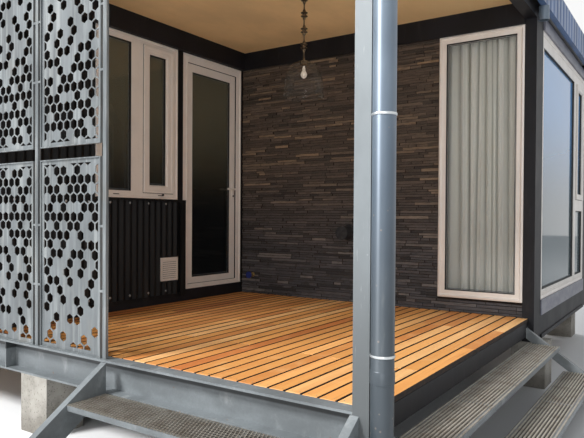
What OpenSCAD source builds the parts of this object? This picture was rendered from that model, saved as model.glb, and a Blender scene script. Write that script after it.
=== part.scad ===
// Shipping container cabin: an L-shaped room in black corrugated steel round a corner
// porch with a boarded deck, a stone slip wall, pierced steel screens and open steps.
// Working frame of the modules: x runs right along the front, y runs back, z = 0 is the
// deck's top, and the deck's front right corner is at x = 0, y = 0.

/* [Plan] */
// Length of the rear container, from its left end to its glazed right end
container_l = 6058; // [5600:1:7500]
// Width of the rear container, from the porch's back wall to the rear
container_w = 2438; // [2200:1:2900]
// Depth of the front block and its porch, from the front beam's edge
porch_d = 2625; // [2500:1:2900]
// Width of the porch, from its left wall to its open right side
porch_w = 2680; // [2600:1:3100]
// How far the glazed end stands out past the deck's right edge
end_proud = 80; // [60:1:100]
// Thickness of the corrugated walls with their lining
wall_t = 80; // [60:1:120]
// Thickness of the slip wall at the back of the porch
slip_wall_t = 100; // [80:1:140]

/* [Heights] */
// Top of the deck above the ground
deck_h = 500; // [450:1:650]
// Heads of the door and the windows above the deck
head_h = 2150; // [2100:1:2180]
// Height of the walls above those heads, up to the ceiling's underside
header_h = 162; // [150:1:260]
// Thickness of the ceiling boards
ceiling_t = 20; // [12:1:30]
// Space between the ceiling and the roof panels
roof_void_h = 70; // [50:1:250]
// Thickness of the roof panels
roof_t = 40; // [30:1:60]
// Top of the floor inside above the deck
floor_h = 40; // [30:1:44]
// Thickness of the floor inside
floor_t = 100; // [60:1:120]

/* [Steel frame] */
// Height of the front channel beam
channel_h = 171; // [150:1:240]
// Width of the front channel's flanges
channel_w = 75; // [60:1:80]
// Thickness of the channel's flanges and web
channel_t = 11; // [6:1:14]
// Drop from the deck's top to the channel's top
channel_drop = 2; // [1:1:20]
// Width of the joint plate in the channel
stiffener_t = 10; // [6:1:16]
// Place of the joint plate along the front, left of the deck's corner
stiffener_x = 2350; // [2000:1:2600]
// Side of the square porch post
post_w = 70; // [60:1:90]
// Width of the posts at the glazed end, seen from the front
end_post_w = 83; // [75:1:110]
// Depth of the posts at the glazed end
end_post_d = 220; // [180:1:240]
// How far the posts at the glazed end stand inside the deck's right edge
end_post_in = 43; // [30:1:60]
// How far the front of the corner post stands proud of the slip wall
end_post_proud = 10; // [5:1:20]
// Height of the bottom rails under the walls
rail_h = 218; // [180:1:260]
// Top of the bottom rails above the deck
rail_top = 46; // [45:1:50]
// Height of the open roof beams
roof_beam_h = 125; // [100:1:140]
// Width of the beam over the porch's open side
side_beam_w = 83; // [75:1:95]
// How far the black ceiling beam stands out from the left wall
left_beam_proud = 45; // [30:1:70]
// How far the black ceiling beam stands out from the slip wall
back_beam_proud = 23; // [15:1:40]

/* [Deck] */
// Thickness of the deck boards
board_t = 27; // [20:1:35]
// Height of the joists under the boards
joist_h = 70; // [50:1:90]
// Width of a joist
joist_w = 50; // [40:1:70]
// Number of joists
joist_n = 5; // [4:1:7]
// Height of the beam along the deck's right edge
edge_beam_h = 100; // [90:1:120]
// Width of the beam along the deck's right edge
edge_beam_w = 45; // [30:1:60]

/* [Piers] */
// Side of a pier
pier_w = 240; // [200:1:300]
// Number of piers along each long side
pier_n = 4; // [3:1:5]

/* [Cladding] */
// Width of one wave of the corrugated walls
wave_pitch = 76; // [66:1:100]
// Depth of those waves
wave_d = 16; // [10:1:20]
// Distance between two ribs of the roof
rib_pitch = 260; // [220:5:330]
// Height of the ribs of the roof
rib_h = 22; // [14:1:26]

/* [Roof edge] */
// Height of the fascia
fascia_h = 216; // [200:1:360]
// Thickness of the fascia
fascia_t = 40; // [30:1:50]
// Drop of the fascia below the ceiling's underside
fascia_drop = 72; // [50:1:90]

/* [Windows] */
// Width of the porch window and of the like windows on the other walls
window_w = 842; // [780:1:900]
// Sill height of those windows
window_sill = 874; // [800:1:950]
// Place of the porch window's near side behind the front edge
window_y = 893; // [880:1:950]
// Depth of a window frame
frame_d = 60; // [50:1:70]
// Width of an outer frame bar
frame_bar = 55; // [45:1:65]
// Thickness of a glass unit
glass_t = 20; // [12:1:28]
// Width of the tall window in the slip wall
tall_w = 645; // [600:1:700]
// Sill height of the tall window
tall_sill = 110; // [90:1:130]
// Bottom of the glazed end's frame above the deck
end_sill = 116; // [100:1:140]
// Drop of the glazed end's head below the other heads
end_head_drop = 0; // [0:1:20]
// Height of the grey rail over the glazed end
end_rail_h = 85; // [60:1:100]
// Width of the fixed pane in the glazed end, with its frame bar
end_fixed_w = 1500; // [1000:1:1600]
// Width of the middle bar of the glazed end
end_mullion = 60; // [50:1:130]
// Width of the glazed end's bottom bar
end_foot_bar = 70; // [55:1:90]
// Width of the glazed end's head bar
end_head_bar = 115; // [90:1:130]
// Height of the middle of the glazed end's transom above the deck
end_transom_z = 866; // [800:1:1100]
// How far the glazed end's frame lies behind the faces of its posts
end_frame_in = 5; // [3:1:8]

/* [Door] */
// Distance from the porch window to the door frame
door_pier_w = 68; // [60:1:80]
// Width of the dark trim between the door frame and the slip wall
door_trim_w = 20; // [15:1:30]
// Height of the dark sill under the door frame
door_sill_h = 52; // [40:1:60]
// Width of a door frame bar
door_bar = 55; // [45:1:60]
// Height of the door frame's bottom bar
threshold_h = 24; // [20:1:40]
// Width of the door leaf's side and top bars
leaf_bar = 82; // [75:1:95]
// Width of the door leaf's bottom bar
leaf_foot = 67; // [60:1:90]
// Thickness of the door leaf
leaf_t = 48; // [44:1:52]
// Gap between the leaf and its frame at the hinges, head and foot
leaf_gap = 5; // [5:0.5:7]
// Gap between the leaf and its frame at the lock
lock_gap = 9; // [9:0.5:10]
// Gap between the leaf and the stop that covers its edge
stop_gap = 6; // [5:0.5:8]
// Cover of the stop over the opening
stop_cover = 16; // [12:1:20]
// Thickness of the stop
stop_t = 9; // [6:1:12]
// Radius of a hinge barrel
barrel_r = 8; // [7:0.5:9]
// Length of half a hinge barrel
barrel_l = 40; // [30:1:50]
// Height of the door handle above the deck
handle_z = 975; // [900:1:1050]
// Length of the handle's plate
handle_plate_l = 170; // [140:1:200]
// Length of the lever
lever_l = 115; // [100:1:125]

/* [Screens] */
// Width of a pierced screen
screen_w = 514; // [480:1:540]
// Height of a pierced screen
screen_h = 1037; // [1000:1:1045]
// Gap between the lower and the upper screens
screen_rise = 68; // [60:1:75]
// Thickness of the pierced sheet
screen_t = 4; // [3:1:6]
// Depth of the rim round the sheet
rim_d = 20; // [16:1:25]
// Width of the rim round the sheet
rim_w = 6; // [4:1:10]
// How far the sheet lies behind the front of its rim
sheet_set = 8; // [4:1:9]
// Number of whole hexagonal holes across a screen
hole_n = 8; // [6:1:10]
// Width of the metal left between two holes
hex_web = 8; // [6:1:10]
// Plain border round the holes
screen_border = 26; // [24:1:40]
// Width of an upright between the screens
upright_w = 26; // [20:1:32]
// Gap between an upright and a screen
upright_gap = 20; // [14:1:26]
// Place of the right upright's centre, left of the deck's corner
upright_x = 1486; // [1400:1:1500]

/* [Steps] */
// Number of risers from the ground to the deck
riser_n = 3; // [3:1:4]
// Going of a front step
front_going = 250; // [240:1:290]
// Going of a side step
side_going = 238; // [210:1:260]
// Width of the front steps, from stringer to stringer
front_steps_w = 1468; // [1200:1:1475]
// Height of a tread's edge angle
tread_h = 30; // [25:1:40]
// Thickness of a tread's mesh
mesh_t = 6; // [4:1:8]
// Thickness of a stringer bar
stringer_t = 38; // [20:1:45]
// Depth of a front stringer bar
front_stringer_h = 128; // [120:1:140]
// Depth of a side stringer bar
side_stringer_h = 60; // [50:1:70]

/* [Fittings] */
// Outer radius of the downpipe
pipe_r = 44; // [40:0.5:50]
// Outer radius of the short pipe over the dark corner post
stub_r = 36; // [30:0.5:40]
// Wall of the downpipe
pipe_t = 3; // [2:0.5:4]
// Height of the downpipe's open foot above the ground
pipe_foot = 70; // [40:1:120]
// Side of the vent's square plate
vent_w = 195; // [160:1:200]
// Outer radius of the flue terminal
flue_r = 57; // [45:1:65]
// Length of the flue terminal
flue_l = 150; // [100:1:180]
// Drop of the pendant lamp's glass drop below the ceiling
lamp_drop = 684; // [660:1:750]
// Radius of the lamp's glass shade at its open rim
shade_r = 138; // [110:1:160]
// Height of the lamp's glass shade
shade_h = 235; // [200:1:260]
// Depth of the curtain's folds
curtain_d = 70; // [50:1:90]

/* [Hidden] */

// Distance by which a cutting shape runs past the faces that it cuts
over = 1;

// Main planes of the building
left_x = end_proud - container_l;
back_y = porch_d + container_w;
wall_x = -porch_w;
room_x = wall_x - wall_t;
rail_z = rail_top - rail_h;
channel_z = -channel_drop - channel_h;
ceiling_h = head_h + header_h;
wall_top = ceiling_h;
beam_z = ceiling_h - roof_beam_h;
roof_z = ceiling_h + ceiling_t + roof_void_h;
fascia_z = ceiling_h - fascia_drop;
left_in = left_x + wall_t;
back_in = back_y - wall_t;
slip_in = porch_d + slip_wall_t;

// Posts at the glazed end
end_post_x = -end_post_in;
end_post_out = end_post_x + end_post_w;
end_post_y = porch_d - end_post_proud;
end_glass_y0 = end_post_y + end_post_d;
end_glass_y1 = back_y - end_post_d;

// The square porch post stands a little past the deck's right edge
porch_post_proud = 19;
porch_post_x = porch_post_proud - post_w;

// The doorway and its leaf, which swings into the room
door_y0 = window_y + window_w + door_pier_w;
door_y1 = porch_d - door_trim_w;
door_inset = 5;
leaf_inset = 5;
door_z0 = rail_top + door_sill_h;
door_z1 = head_h;
frame_x0 = room_x + door_inset;
frame_x1 = frame_x0 + leaf_inset + leaf_t + stop_gap + stop_t;
leaf_x0 = frame_x0 + leaf_inset;
leaf_x1 = leaf_x0 + leaf_t;
leaf_y0 = door_y0 + door_bar + leaf_gap;
leaf_y1 = door_y1 - door_bar - lock_gap;
leaf_z0 = door_z0 + threshold_h + leaf_gap;
leaf_z1 = door_z1 - door_bar - leaf_gap;
barrel_play = 1;
hinge_x = frame_x0 - barrel_r - barrel_play;
hinge_y = leaf_y0 - leaf_gap / 2;
hinge_end = 180;
hinge_tab = 24;
hinge_play = 0.3;
hinge_zs = [leaf_z0 + hinge_end, (leaf_z0 + leaf_z1) / 2, leaf_z1 - hinge_end];

// Windows
window_h = head_h - window_sill;
tall_x0 = end_post_x - tall_w;
tall_h = head_h - tall_sill;
end_h = head_h - end_head_drop - end_sill;
end_w = end_glass_y1 - end_glass_y0;
end_frame_x = end_post_out - end_frame_in;
end_head = end_sill + end_h;

// Steps, whose side flight starts a little behind the porch post
steps_clear = 20;
front_gap = 2;
side_gap = 12;
front_lead = 5;
front_drop = channel_drop + channel_t + 2;
side_drop = board_t + 35;
rise = deck_h / riser_n;
tread_n = riser_n - 1;
front_x0 = -upright_x - front_lead;
front_x1 = front_x0 + front_steps_w;
front_out = (deck_h - front_drop) * front_going / rise;
side_out = (deck_h - side_drop) * side_going / rise;

// The front treads' edges lie on their stringers' top lines
tread_out = front_drop * front_going / rise;
front_tread_d = front_going - tread_out - front_gap;

// Screens
column_step = screen_w + 2 * upright_gap + upright_w;
upright_xs = [for (i = [0:2]) -upright_x - i * column_step];
screen_xs = [for (i = [0:1]) upright_xs[i + 1] + upright_w / 2 + upright_gap];
screen_y = 14;
upright_d = 16;

// The box of the whole building, whose bottom centre is the model's origin
box_x0 = left_x - fascia_t;
box_x1 = side_out;
box_y0 = -front_out;
box_y1 = back_y + fascia_t;

module site() {
    translate([-(box_x0 + box_x1) / 2, -(box_y0 + box_y1) / 2, deck_h]) children();
}

// A box given by its two corners
module block(a, b) {
    translate(a) cube(b - a);
}

// A frame in the xz plane, w wide, h high and t deep, cut through by its lights,
// each given as [x0, z0, x1, z1]
module framed(w, h, t, lights) {
    difference() {
        cube([w, t, h]);
        for (l = lights)
            block([l[0], -over, l[1]], [l[2], t + over, l[3]]);
    }
}

// The glass units that fill those lights
module glazed(t, lights) {
    for (l = lights)
        block([l[0], 0, l[1]], [l[2], t, l[3]]);
}

// Turns a frame drawn in the xz plane so that its width runs along y and its depth
// towards -x
module facing_side() {
    rotate([0, 0, 90]) children();
}

// Lights of the common window: a fixed pane and a narrow opening sash
fixed_share = 0.4;
sash_share = 0.494;
sash_lap = 27;
common_lights = [[frame_bar, frame_bar, window_w * fixed_share, window_h - frame_bar],
                 [window_w * sash_share + 2 * frame_bar, 2 * frame_bar,
                  window_w - 2 * frame_bar - sash_lap, window_h - 2 * frame_bar]];

// Lights of the tall window
tall_lights = [[frame_bar, frame_bar, tall_w - frame_bar, tall_h - frame_bar]];

// Lights of the glazed end: one big pane, then an opening sash over a fixed pane
end_side_x = end_fixed_w + end_mullion;
end_transom = end_transom_z - end_sill;
end_lights = [[frame_bar, end_foot_bar, end_fixed_w - frame_bar, end_h - end_head_bar],
              [end_side_x, end_foot_bar, end_w - frame_bar, end_transom - frame_bar],
              [end_side_x + frame_bar, end_transom + 2 * frame_bar,
               end_w - 2 * frame_bar, end_h - end_head_bar - frame_bar]];

// Lowest left corners of the like windows, which no photograph shows
room_mid_x = (left_in + room_x) / 2 - window_w / 2;
front_window = [room_mid_x, 0, window_sill];
back_shares = [0.25, 0.7];
back_windows = [for (s = back_shares) [left_x + s * container_l - window_w / 2,
                                       back_y - frame_d, window_sill]];
left_windows = [for (y = [porch_d / 2, porch_d + container_w / 2])
                [left_x, y - window_w / 2, window_sill]];

module window_hole(at) {
    translate(at - [0, over, 0]) cube([window_w, wall_t + 2 * over, window_h]);
}

module side_window_hole(at) {
    translate(at - [over, 0, 0]) cube([wall_t + 2 * over, window_w, window_h]);
}

// Shares of a wave that its groove takes at the wall's face and at its flat floor
groove_share = 0.66;
groove_floor_share = 0.26;

// Plain band of the corrugated walls above and below each window
window_band = 24;

// One upright groove of a wall whose face is the plane y = 0
module groove(x, step, z0, z1) {
    half = step * groove_share / 2;
    floor_half = step * groove_floor_share / 2;
    translate([x, 0, z0]) linear_extrude(z1 - z0)
        polygon([[-half, -over], [half, -over], [half, 0], [floor_half, wave_d],
                 [-floor_half, wave_d], [-half, 0]]);
}

// Grooves of a whole wall from x0 to x1, which leave out its windows, each given by its
// left edge
module grooves(x0, x1, z0, windows) {
    n = round((x1 - x0) / wave_pitch);
    step = (x1 - x0) / n;
    reach = window_w / 2 + window_band + step * groove_share / 2;
    for (i = [0:n - 1]) {
        x = x0 + (i + 0.5) * step;
        met = [for (w = windows) if (abs(w + window_w / 2 - x) < reach) w];
        if (len(met) == 0)
            groove(x, step, z0 - over, wall_top + over);
        if (len(met) > 0) {
            groove(x, step, z0 - over, window_sill - window_band);
            groove(x, step, head_h + window_band, wall_top + over);
        }
    }
}

// Piers under the beams, rails and posts, down to the ground
module pier(x, y, top) {
    block([x - pier_w / 2, y - pier_w / 2, -deck_h], [x + pier_w / 2, y + pier_w / 2, top]);
}

module piers() site() color("dimgray") {
    half = pier_w / 2;
    post_gap = 5;
    x0 = left_x + half;
    x1 = porch_post_x - post_gap - half;
    for (i = [0:pier_n - 1]) {
        x = x0 + i * (x1 - x0) / (pier_n - 1);
        pier(x, half, channel_z);
        pier(x, back_y - half, rail_z);
    }
    pier(left_x + half, porch_d, rail_z);
    pier((left_x + room_x) / 2, porch_d, floor_h - floor_t);
    pier(wall_x - wall_t / 2, porch_d + slip_wall_t / 2, rail_z);
    pier(end_post_x + end_post_w / 2, end_post_y + half, rail_z);
}

// Light grey channel along the front, with its flanges outwards
module front_beam() site() color("lightslategray") {
    x0 = left_x + wall_t;
    x1 = porch_post_x;
    difference() {
        block([x0, 0, channel_z], [x1, channel_w, -channel_drop]);
        block([x0 - over, -over, channel_z + channel_t],
              [x1 + over, channel_w - channel_t, -channel_drop - channel_t]);
    }
    block([-stiffener_x - stiffener_t / 2, 0, channel_z],
          [-stiffener_x + stiffener_t / 2, channel_w, -channel_drop]);
}

// Dark rails under the walls, with the sill block under the door frame
module base_rails() site() color("darkslategray") {
    lip_w = 12;
    lip_h = 28;
    block([left_x, wall_t, rail_z], [left_in, back_in, rail_top]);
    block([left_x, back_in, rail_z], [end_post_x, back_y, rail_top]);
    block([room_x, channel_w, rail_z], [wall_x, porch_d, rail_top]);
    block([room_x, door_y0, rail_top], [wall_x, door_y1, door_z0]);
    block([end_post_x, end_glass_y0, rail_z], [end_post_out, end_glass_y1, rail_top]);
    block([end_post_out, end_glass_y0, rail_z],
          [end_post_out + lip_w, end_glass_y1, rail_z + lip_h]);
}

// Joists under the boards and the dark beam along the deck's open right side
module deck_frame() site() color("darkslategray") {
    joist_z = -board_t - joist_h;
    first = channel_w;
    last = porch_d - joist_w;
    for (i = [0:joist_n - 1]) {
        y = first + i * (last - first) / (joist_n - 1);
        x1 = i == 0 ? porch_post_x : -edge_beam_w;
        block([wall_x, y, joist_z], [x1, y + joist_w, -board_t]);
    }
    block([-edge_beam_w, post_w, -board_t - edge_beam_h], [0, end_post_y, -board_t]);
}

// The deck, whose boards run from front to back
module deck() site() color("peru") {
    notch = 2;
    difference() {
        block([wall_x, channel_w, -board_t], [0, porch_d, 0]);
        block([porch_post_x - notch, 0, -board_t - over], [over, post_w + notch, over]);
        block([end_post_x - notch, end_post_y - notch, -board_t - over],
              [over, porch_d + over, over]);
    }
}

// Square post at the porch's open corner, from the ground to the roof beams
module porch_post() site() color("lightslategray")
    block([porch_post_x, 0, -deck_h], [porch_post_x + post_w, post_w, beam_z]);

// Dark posts of the glazed end, and the plain corner posts of the far end
module end_posts() site() color("black") {
    block([end_post_x, end_post_y, rail_z], [end_post_out, end_glass_y0, beam_z]);
    block([end_post_x, end_glass_y1, rail_z], [end_post_out, back_y, wall_top]);
    block([left_x, 0, channel_z], [left_in, wall_t, wall_top]);
}

// Round downpipe beside the porch post, with its straps and socket joint
pipe_x = porch_post_x + post_w + pipe_r;
pipe_y = 18;
strap_zs = [1103, 222];
strap_h = 12;
strap_t = 3;
socket_z = 169;
socket_l = 50;
socket_t = 2;

module pipe(r, z0, z1) {
    translate([0, 0, z0]) difference() {
        cylinder(h = z1 - z0, r = r, $fn = 64);
        translate([0, 0, -over]) cylinder(h = z1 - z0 + 2 * over, r = r - pipe_t, $fn = 64);
    }
}

// Collar round the downpipe, open at the back where it meets the post
module collar(z, h, t) {
    translate([0, 0, z]) difference() {
        cylinder(h = h, r = pipe_r + t, $fn = 64);
        translate([0, 0, -over]) cylinder(h = h + 2 * over, r = pipe_r - pipe_t / 2, $fn = 64);
        block([-2 * pipe_r, -2 * pipe_r, -over], [-pipe_r, 2 * pipe_r, h + over]);
    }
}

module downpipe() site() color("slategray") translate([pipe_x, pipe_y, 0]) {
    pipe(pipe_r, pipe_foot - deck_h, fascia_z);
    for (z = strap_zs)
        collar(z - strap_h / 2, strap_h, strap_t);
    collar(socket_z - socket_l, socket_l, socket_t);
}

// Short pipe that hangs from the roof's edge over the dark corner post; the rest is missing
stub_drop = 45;
stub_off = [55, -44];

module downpipe_stub() site() color("slategray")
    translate([end_post_out + stub_off[0], end_post_y + stub_off[1], 0])
        pipe(stub_r, beam_z - stub_drop, fascia_z);

// Floor of the L-shaped room
module floor() site() color("tan") {
    block([left_in, wall_t, floor_h - floor_t], [room_x, slip_in, floor_h]);
    block([left_in, slip_in, floor_h - floor_t], [end_post_x, back_in, floor_h]);
}

// Corrugated wall on the porch's left, up to the doorway, with the window's opening
module porch_side_wall() site() color("black") {
    difference() {
        block([room_x, 0, rail_top], [wall_x, door_y0, wall_top]);
        side_window_hole([room_x, window_y, window_sill]);
        translate([wall_x, 0, 0]) facing_side() grooves(0, door_y0, rail_top, [window_y]);
    }
    block([room_x, 0, -channel_drop], [wall_x, channel_w, rail_top]);
}

// Wall over the doorway, and the trim beside it
module porch_door_header() site() color("black") {
    joint = 1;
    block([room_x, door_y0, head_h], [wall_x, porch_d, wall_top]);
    block([room_x, door_y1, rail_top], [wall_x, porch_d, head_h - joint]);
}

// Slip-faced wall at the back of the porch, with the tall window's opening
module porch_back_wall() site() color("dimgray")
    difference() {
        block([room_x, porch_d, rail_z], [end_post_x, slip_in, wall_top]);
        block([tall_x0, porch_d - over, tall_sill],
              [end_post_x + over, slip_in + over, head_h]);
    }

module front_wall() site() color("black")
    difference() {
        block([left_in, 0, -channel_drop], [room_x, wall_t, wall_top]);
        window_hole(front_window);
        grooves(left_in, room_x, -channel_drop, [front_window[0]]);
    }

module left_wall() site() color("black")
    difference() {
        block([left_x, wall_t, rail_top], [left_in, back_in, wall_top]);
        for (at = left_windows)
            side_window_hole(at);
        translate([left_x, 0, 0]) mirror([1, -1, 0])
            grooves(wall_t, back_in, rail_top, [for (at = left_windows) at[1]]);
    }

module back_wall() site() color("black")
    difference() {
        block([left_x, back_in, rail_top], [end_post_x, back_y, wall_top]);
        for (at = back_windows)
            window_hole([at[0], back_in, at[2]]);
        translate([0, back_y, 0]) mirror([0, 1, 0])
            grooves(left_x, end_post_x, rail_top, [for (at = back_windows) at[0]]);
    }

// Grey band under the glazed end and the rail and recess over it
module end_trim() site() color("slategray") {
    band_proud = 8;
    rail_proud = 15;
    recess = 25;
    rail_z1 = end_head + end_rail_h;
    block([end_post_x, end_glass_y0, rail_top], [end_post_out, end_glass_y1, end_sill]);
    block([end_post_out, end_glass_y0, 0],
          [end_post_out + band_proud, end_glass_y1, end_sill]);
    block([end_post_x, end_glass_y0, end_head], [end_post_out + rail_proud, end_glass_y1, rail_z1]);
    block([end_post_x, end_glass_y0, rail_z1], [end_post_out - recess, end_glass_y1, wall_top]);
}

// Beams round the porch's roof: front, open side, and the black ones under the ceiling
module roof_beams() site() color("black") {
    block([wall_x, 0, beam_z], [porch_post_x + post_w, post_w, ceiling_h]);
    block([end_post_x, post_w, beam_z],
          [end_post_x + side_beam_w, end_glass_y0, ceiling_h]);
    block([wall_x, post_w, head_h], [wall_x + left_beam_proud, porch_d, ceiling_h]);
    block([wall_x, porch_d - back_beam_proud, head_h], [end_post_x, porch_d, ceiling_h]);
}

module porch_ceiling() site() color("tan")
    block([wall_x, 0, ceiling_h], [end_proud, porch_d, ceiling_h + ceiling_t]);

module room_ceiling() site() color("white") {
    block([left_x, 0, ceiling_h], [wall_x, porch_d, ceiling_h + ceiling_t]);
    block([left_x, porch_d, ceiling_h], [end_proud, back_y, ceiling_h + ceiling_t]);
}

// Roof sheet with ribs from front to back
module roof_panels() site() color("gray") {
    rib_top_w = 22;
    rib_foot_w = 52;
    w = end_proud - left_x;
    n = round(w / rib_pitch);
    step = w / n;
    flat = roof_t - rib_h;
    rib = [[-rib_foot_w / 2, flat], [-rib_top_w / 2, roof_t],
           [rib_top_w / 2, roof_t], [rib_foot_w / 2, flat]];
    ribs = [for (i = [0:n - 1], p = rib) [(i + 0.5) * step + p[0], p[1]]];
    translate([left_x, back_y, roof_z]) rotate([90, 0, 0]) linear_extrude(back_y)
        polygon(concat([[0, 0], [0, flat]], ribs, [[w, flat], [w, 0]]));
}

// Blue-grey seamed fascia round the roof
module fascia() site() color("steelblue")
    difference() {
        block([left_x - fascia_t, -fascia_t, fascia_z],
              [end_proud + fascia_t, back_y + fascia_t, fascia_z + fascia_h]);
        block([left_x, 0, fascia_z - over], [end_proud, back_y, fascia_z + fascia_h + over]);
    }

// Window frames, white, 5 mm proud of the wall
frame_proud = 5;

module porch_window_frame() site() color("white")
    translate([wall_x + frame_proud, window_y, window_sill])
        facing_side() framed(window_w, window_h, frame_d, common_lights);

module porch_window_glass() site() color("lightblue", 0.4)
    translate([wall_x + frame_proud - (frame_d - glass_t) / 2, window_y, window_sill])
        facing_side() glazed(glass_t, common_lights);

module tall_window_frame() site() color("white")
    translate([tall_x0, porch_d - frame_proud, tall_sill])
        framed(tall_w, tall_h, frame_d, tall_lights);

module tall_window_glass() site() color("lightblue", 0.4)
    translate([tall_x0, porch_d - frame_proud + (frame_d - glass_t) / 2, tall_sill])
        glazed(glass_t, tall_lights);

module end_window_frame() site() color("white")
    translate([end_frame_x, end_glass_y0, end_sill])
        facing_side() framed(end_w, end_h, frame_d, end_lights);

module end_window_glass() site() color("lightblue", 0.4)
    translate([end_frame_x - (frame_d - glass_t) / 2, end_glass_y0, end_sill])
        facing_side() glazed(glass_t, end_lights);

// Places one common window's frame or glass at each plain window, with the given inset
// from the frame's outer face
module at_plain_windows(inset) {
    translate(front_window + [0, inset, 0]) children();
    for (at = back_windows)
        translate([at[0] + window_w, back_y - inset, at[2]]) rotate([0, 0, 180]) children();
    for (at = left_windows)
        translate([left_x + inset, at[1] + window_w, at[2]]) rotate([0, 0, -90]) children();
}

module plain_window_frames() site() color("white")
    at_plain_windows(0) framed(window_w, window_h, frame_d, common_lights);

module plain_window_glass() site() color("lightblue", 0.4)
    at_plain_windows((frame_d - glass_t) / 2) glazed(glass_t, common_lights);

// Half of a hinge: a barrel round the pin and the tab that holds it, which reaches the
// face at face_x
module hinge_half(z, tab_y0, tab_y1, face_x) {
    translate([hinge_x, hinge_y, z]) cylinder(h = barrel_l, r = barrel_r, $fn = 32);
    block([hinge_x, tab_y0, z], [face_x, tab_y1, z + barrel_l]);
}

module door_frame() site() color("white") {
    open_z0 = door_z0 + threshold_h;
    open_z1 = door_z1 - door_bar;
    difference() {
        block([frame_x0, door_y0, door_z0], [frame_x1, door_y1, door_z1]);
        block([frame_x0 - over, door_y0 + door_bar, open_z0],
              [leaf_x1 + stop_gap, door_y1 - door_bar, open_z1]);
        block([frame_x0, door_y0 + door_bar + stop_cover, open_z0 + stop_cover],
              [frame_x1 + over, door_y1 - door_bar - stop_cover, open_z1 - stop_cover]);
    }
    for (z = hinge_zs)
        hinge_half(z - barrel_l, hinge_y - hinge_tab, hinge_y - leaf_gap / 2, frame_x0);
}

leaf_w = leaf_y1 - leaf_y0;
leaf_h = leaf_z1 - leaf_z0;
leaf_light = [[leaf_bar, leaf_foot, leaf_w - leaf_bar, leaf_h - leaf_bar]];

module door_leaf() site() color("white") {
    translate([leaf_x1, leaf_y0, leaf_z0])
        facing_side() framed(leaf_w, leaf_h, leaf_t, leaf_light);
    for (z = hinge_zs)
        hinge_half(z + hinge_play, hinge_y + leaf_gap / 2, hinge_y + hinge_tab, leaf_x0);
}

module door_glass() site() color("lightblue", 0.4)
    translate([leaf_x1 - (leaf_t - glass_t) / 2, leaf_y0, leaf_z0])
        facing_side() glazed(glass_t, leaf_light);

// Lever handles on both faces of the leaf
module lever(side) {
    plate_w = 30;
    plate_t = 8;
    neck_l = 38;
    lever_r = 9;
    mirror([side < 0 ? 1 : 0, 0, 0]) {
        block([0, -plate_w / 2, -handle_plate_l / 2], [plate_t, plate_w / 2, handle_plate_l / 2]);
        rotate([0, 90, 0]) cylinder(h = plate_t + neck_l, r = lever_r, $fn = 32);
        translate([plate_t + neck_l - lever_r, 0, 0])
            rotate([90, 0, 0]) cylinder(h = lever_l, r = lever_r, $fn = 32);
    }
}

module door_handle() site() color("silver") {
    off_centre = 6;
    y = leaf_y1 - leaf_bar / 2 + off_centre;
    translate([leaf_x1, y, handle_z]) lever(1);
    translate([leaf_x0, y, handle_z]) lever(-1);
}

// Hexagonal holes of a screen, row by row from its plain end to its dense end, with 1 for
// a hole and 0 for plain metal. Every second row starts and ends with a half hole.
hole_rows = ["11001110", "010100100", "01000001", "001011000", "10000100",
             "010101010", "10100010", "011010010", "10010101", "110010101",
             "01101101", "110100111", "11110100", "101011011", "11111101",
             "110100111", "01111111", "111011101", "10111111", "101101001"];

// The first row is cut through its centres and the last one a quarter of a row above them
last_cut = 0.25;
hex_pitch = (screen_w - 2 * screen_border + hex_web) / hole_n;
hex_r = (hex_pitch - hex_web) / sqrt(3);
holes_h = screen_h - 2 * screen_border;
row_n = round(holes_h / (hex_pitch * sqrt(3) / 2) + last_cut);
row_h = holes_h / (row_n - last_cut);

module screen_holes() {
    // Half holes reach a little past the whole ones' sides
    reach = 0.5;
    intersection() {
        translate([screen_border - reach, screen_border])
            square([screen_w - 2 * screen_border + 2 * reach, holes_h]);
        for (j = [0:row_n]) {
            row = hole_rows[j % len(hole_rows)];
            half = j % 2;
            for (i = [0:hole_n - 1 + half])
                if (row[i % len(row)] == "1")
                    translate([screen_border + hex_pitch * (i + (1 - half) / 2) - hex_web / 2,
                               screen_border + j * row_h])
                        rotate(30) circle(r = hex_r, $fn = 6);
        }
    }
}

// One pierced sheet inside a shallow rim
module screen() {
    edge = rim_w / 2;
    translate([0, sheet_set + screen_t, 0]) rotate([90, 0, 0]) linear_extrude(screen_t)
        difference() {
            translate([edge, edge]) square([screen_w - 2 * edge, screen_h - 2 * edge]);
            screen_holes();
        }
    framed(screen_w, screen_h, rim_d, [[rim_w, rim_w, screen_w - rim_w, screen_h - rim_w]]);
}

// The lower sheets are dense at the top, and the far one shows its other face
module lower_screens() site() color("darkgray") {
    translate([screen_xs[0], screen_y, -channel_drop]) screen();
    translate([screen_xs[1] + screen_w, screen_y, -channel_drop]) mirror([1, 0, 0]) screen();
}

// The upper sheets are turned upside down
upper_z = screen_h + screen_rise - channel_drop;

module upper_screens() site() color("darkgray")
    for (x = screen_xs)
        translate([x + screen_w, screen_y, upper_z + screen_h])
            mirror([1, 0, 0]) mirror([0, 0, 1]) screen();

// Uprights that carry the screens on small tabs
module screen_uprights() site() color("darkgray") {
    tab_h = 12;
    tab_shares = [0.327, 0.648];
    for (x = upright_xs)
        block([x - upright_w / 2, screen_y, -channel_drop],
              [x + upright_w / 2, screen_y + upright_d, beam_z]);
    for (x = screen_xs, share = tab_shares, upper = [0, 1]) {
        z = upper == 0 ? share * screen_h - channel_drop : upper_z + (1 - share) * screen_h;
        block([x - upright_gap, screen_y, z], [x, screen_y + upright_d, z + tab_h]);
        block([x + screen_w, screen_y, z],
              [x + screen_w + upright_gap, screen_y + upright_d, z + tab_h]);
    }
}

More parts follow.
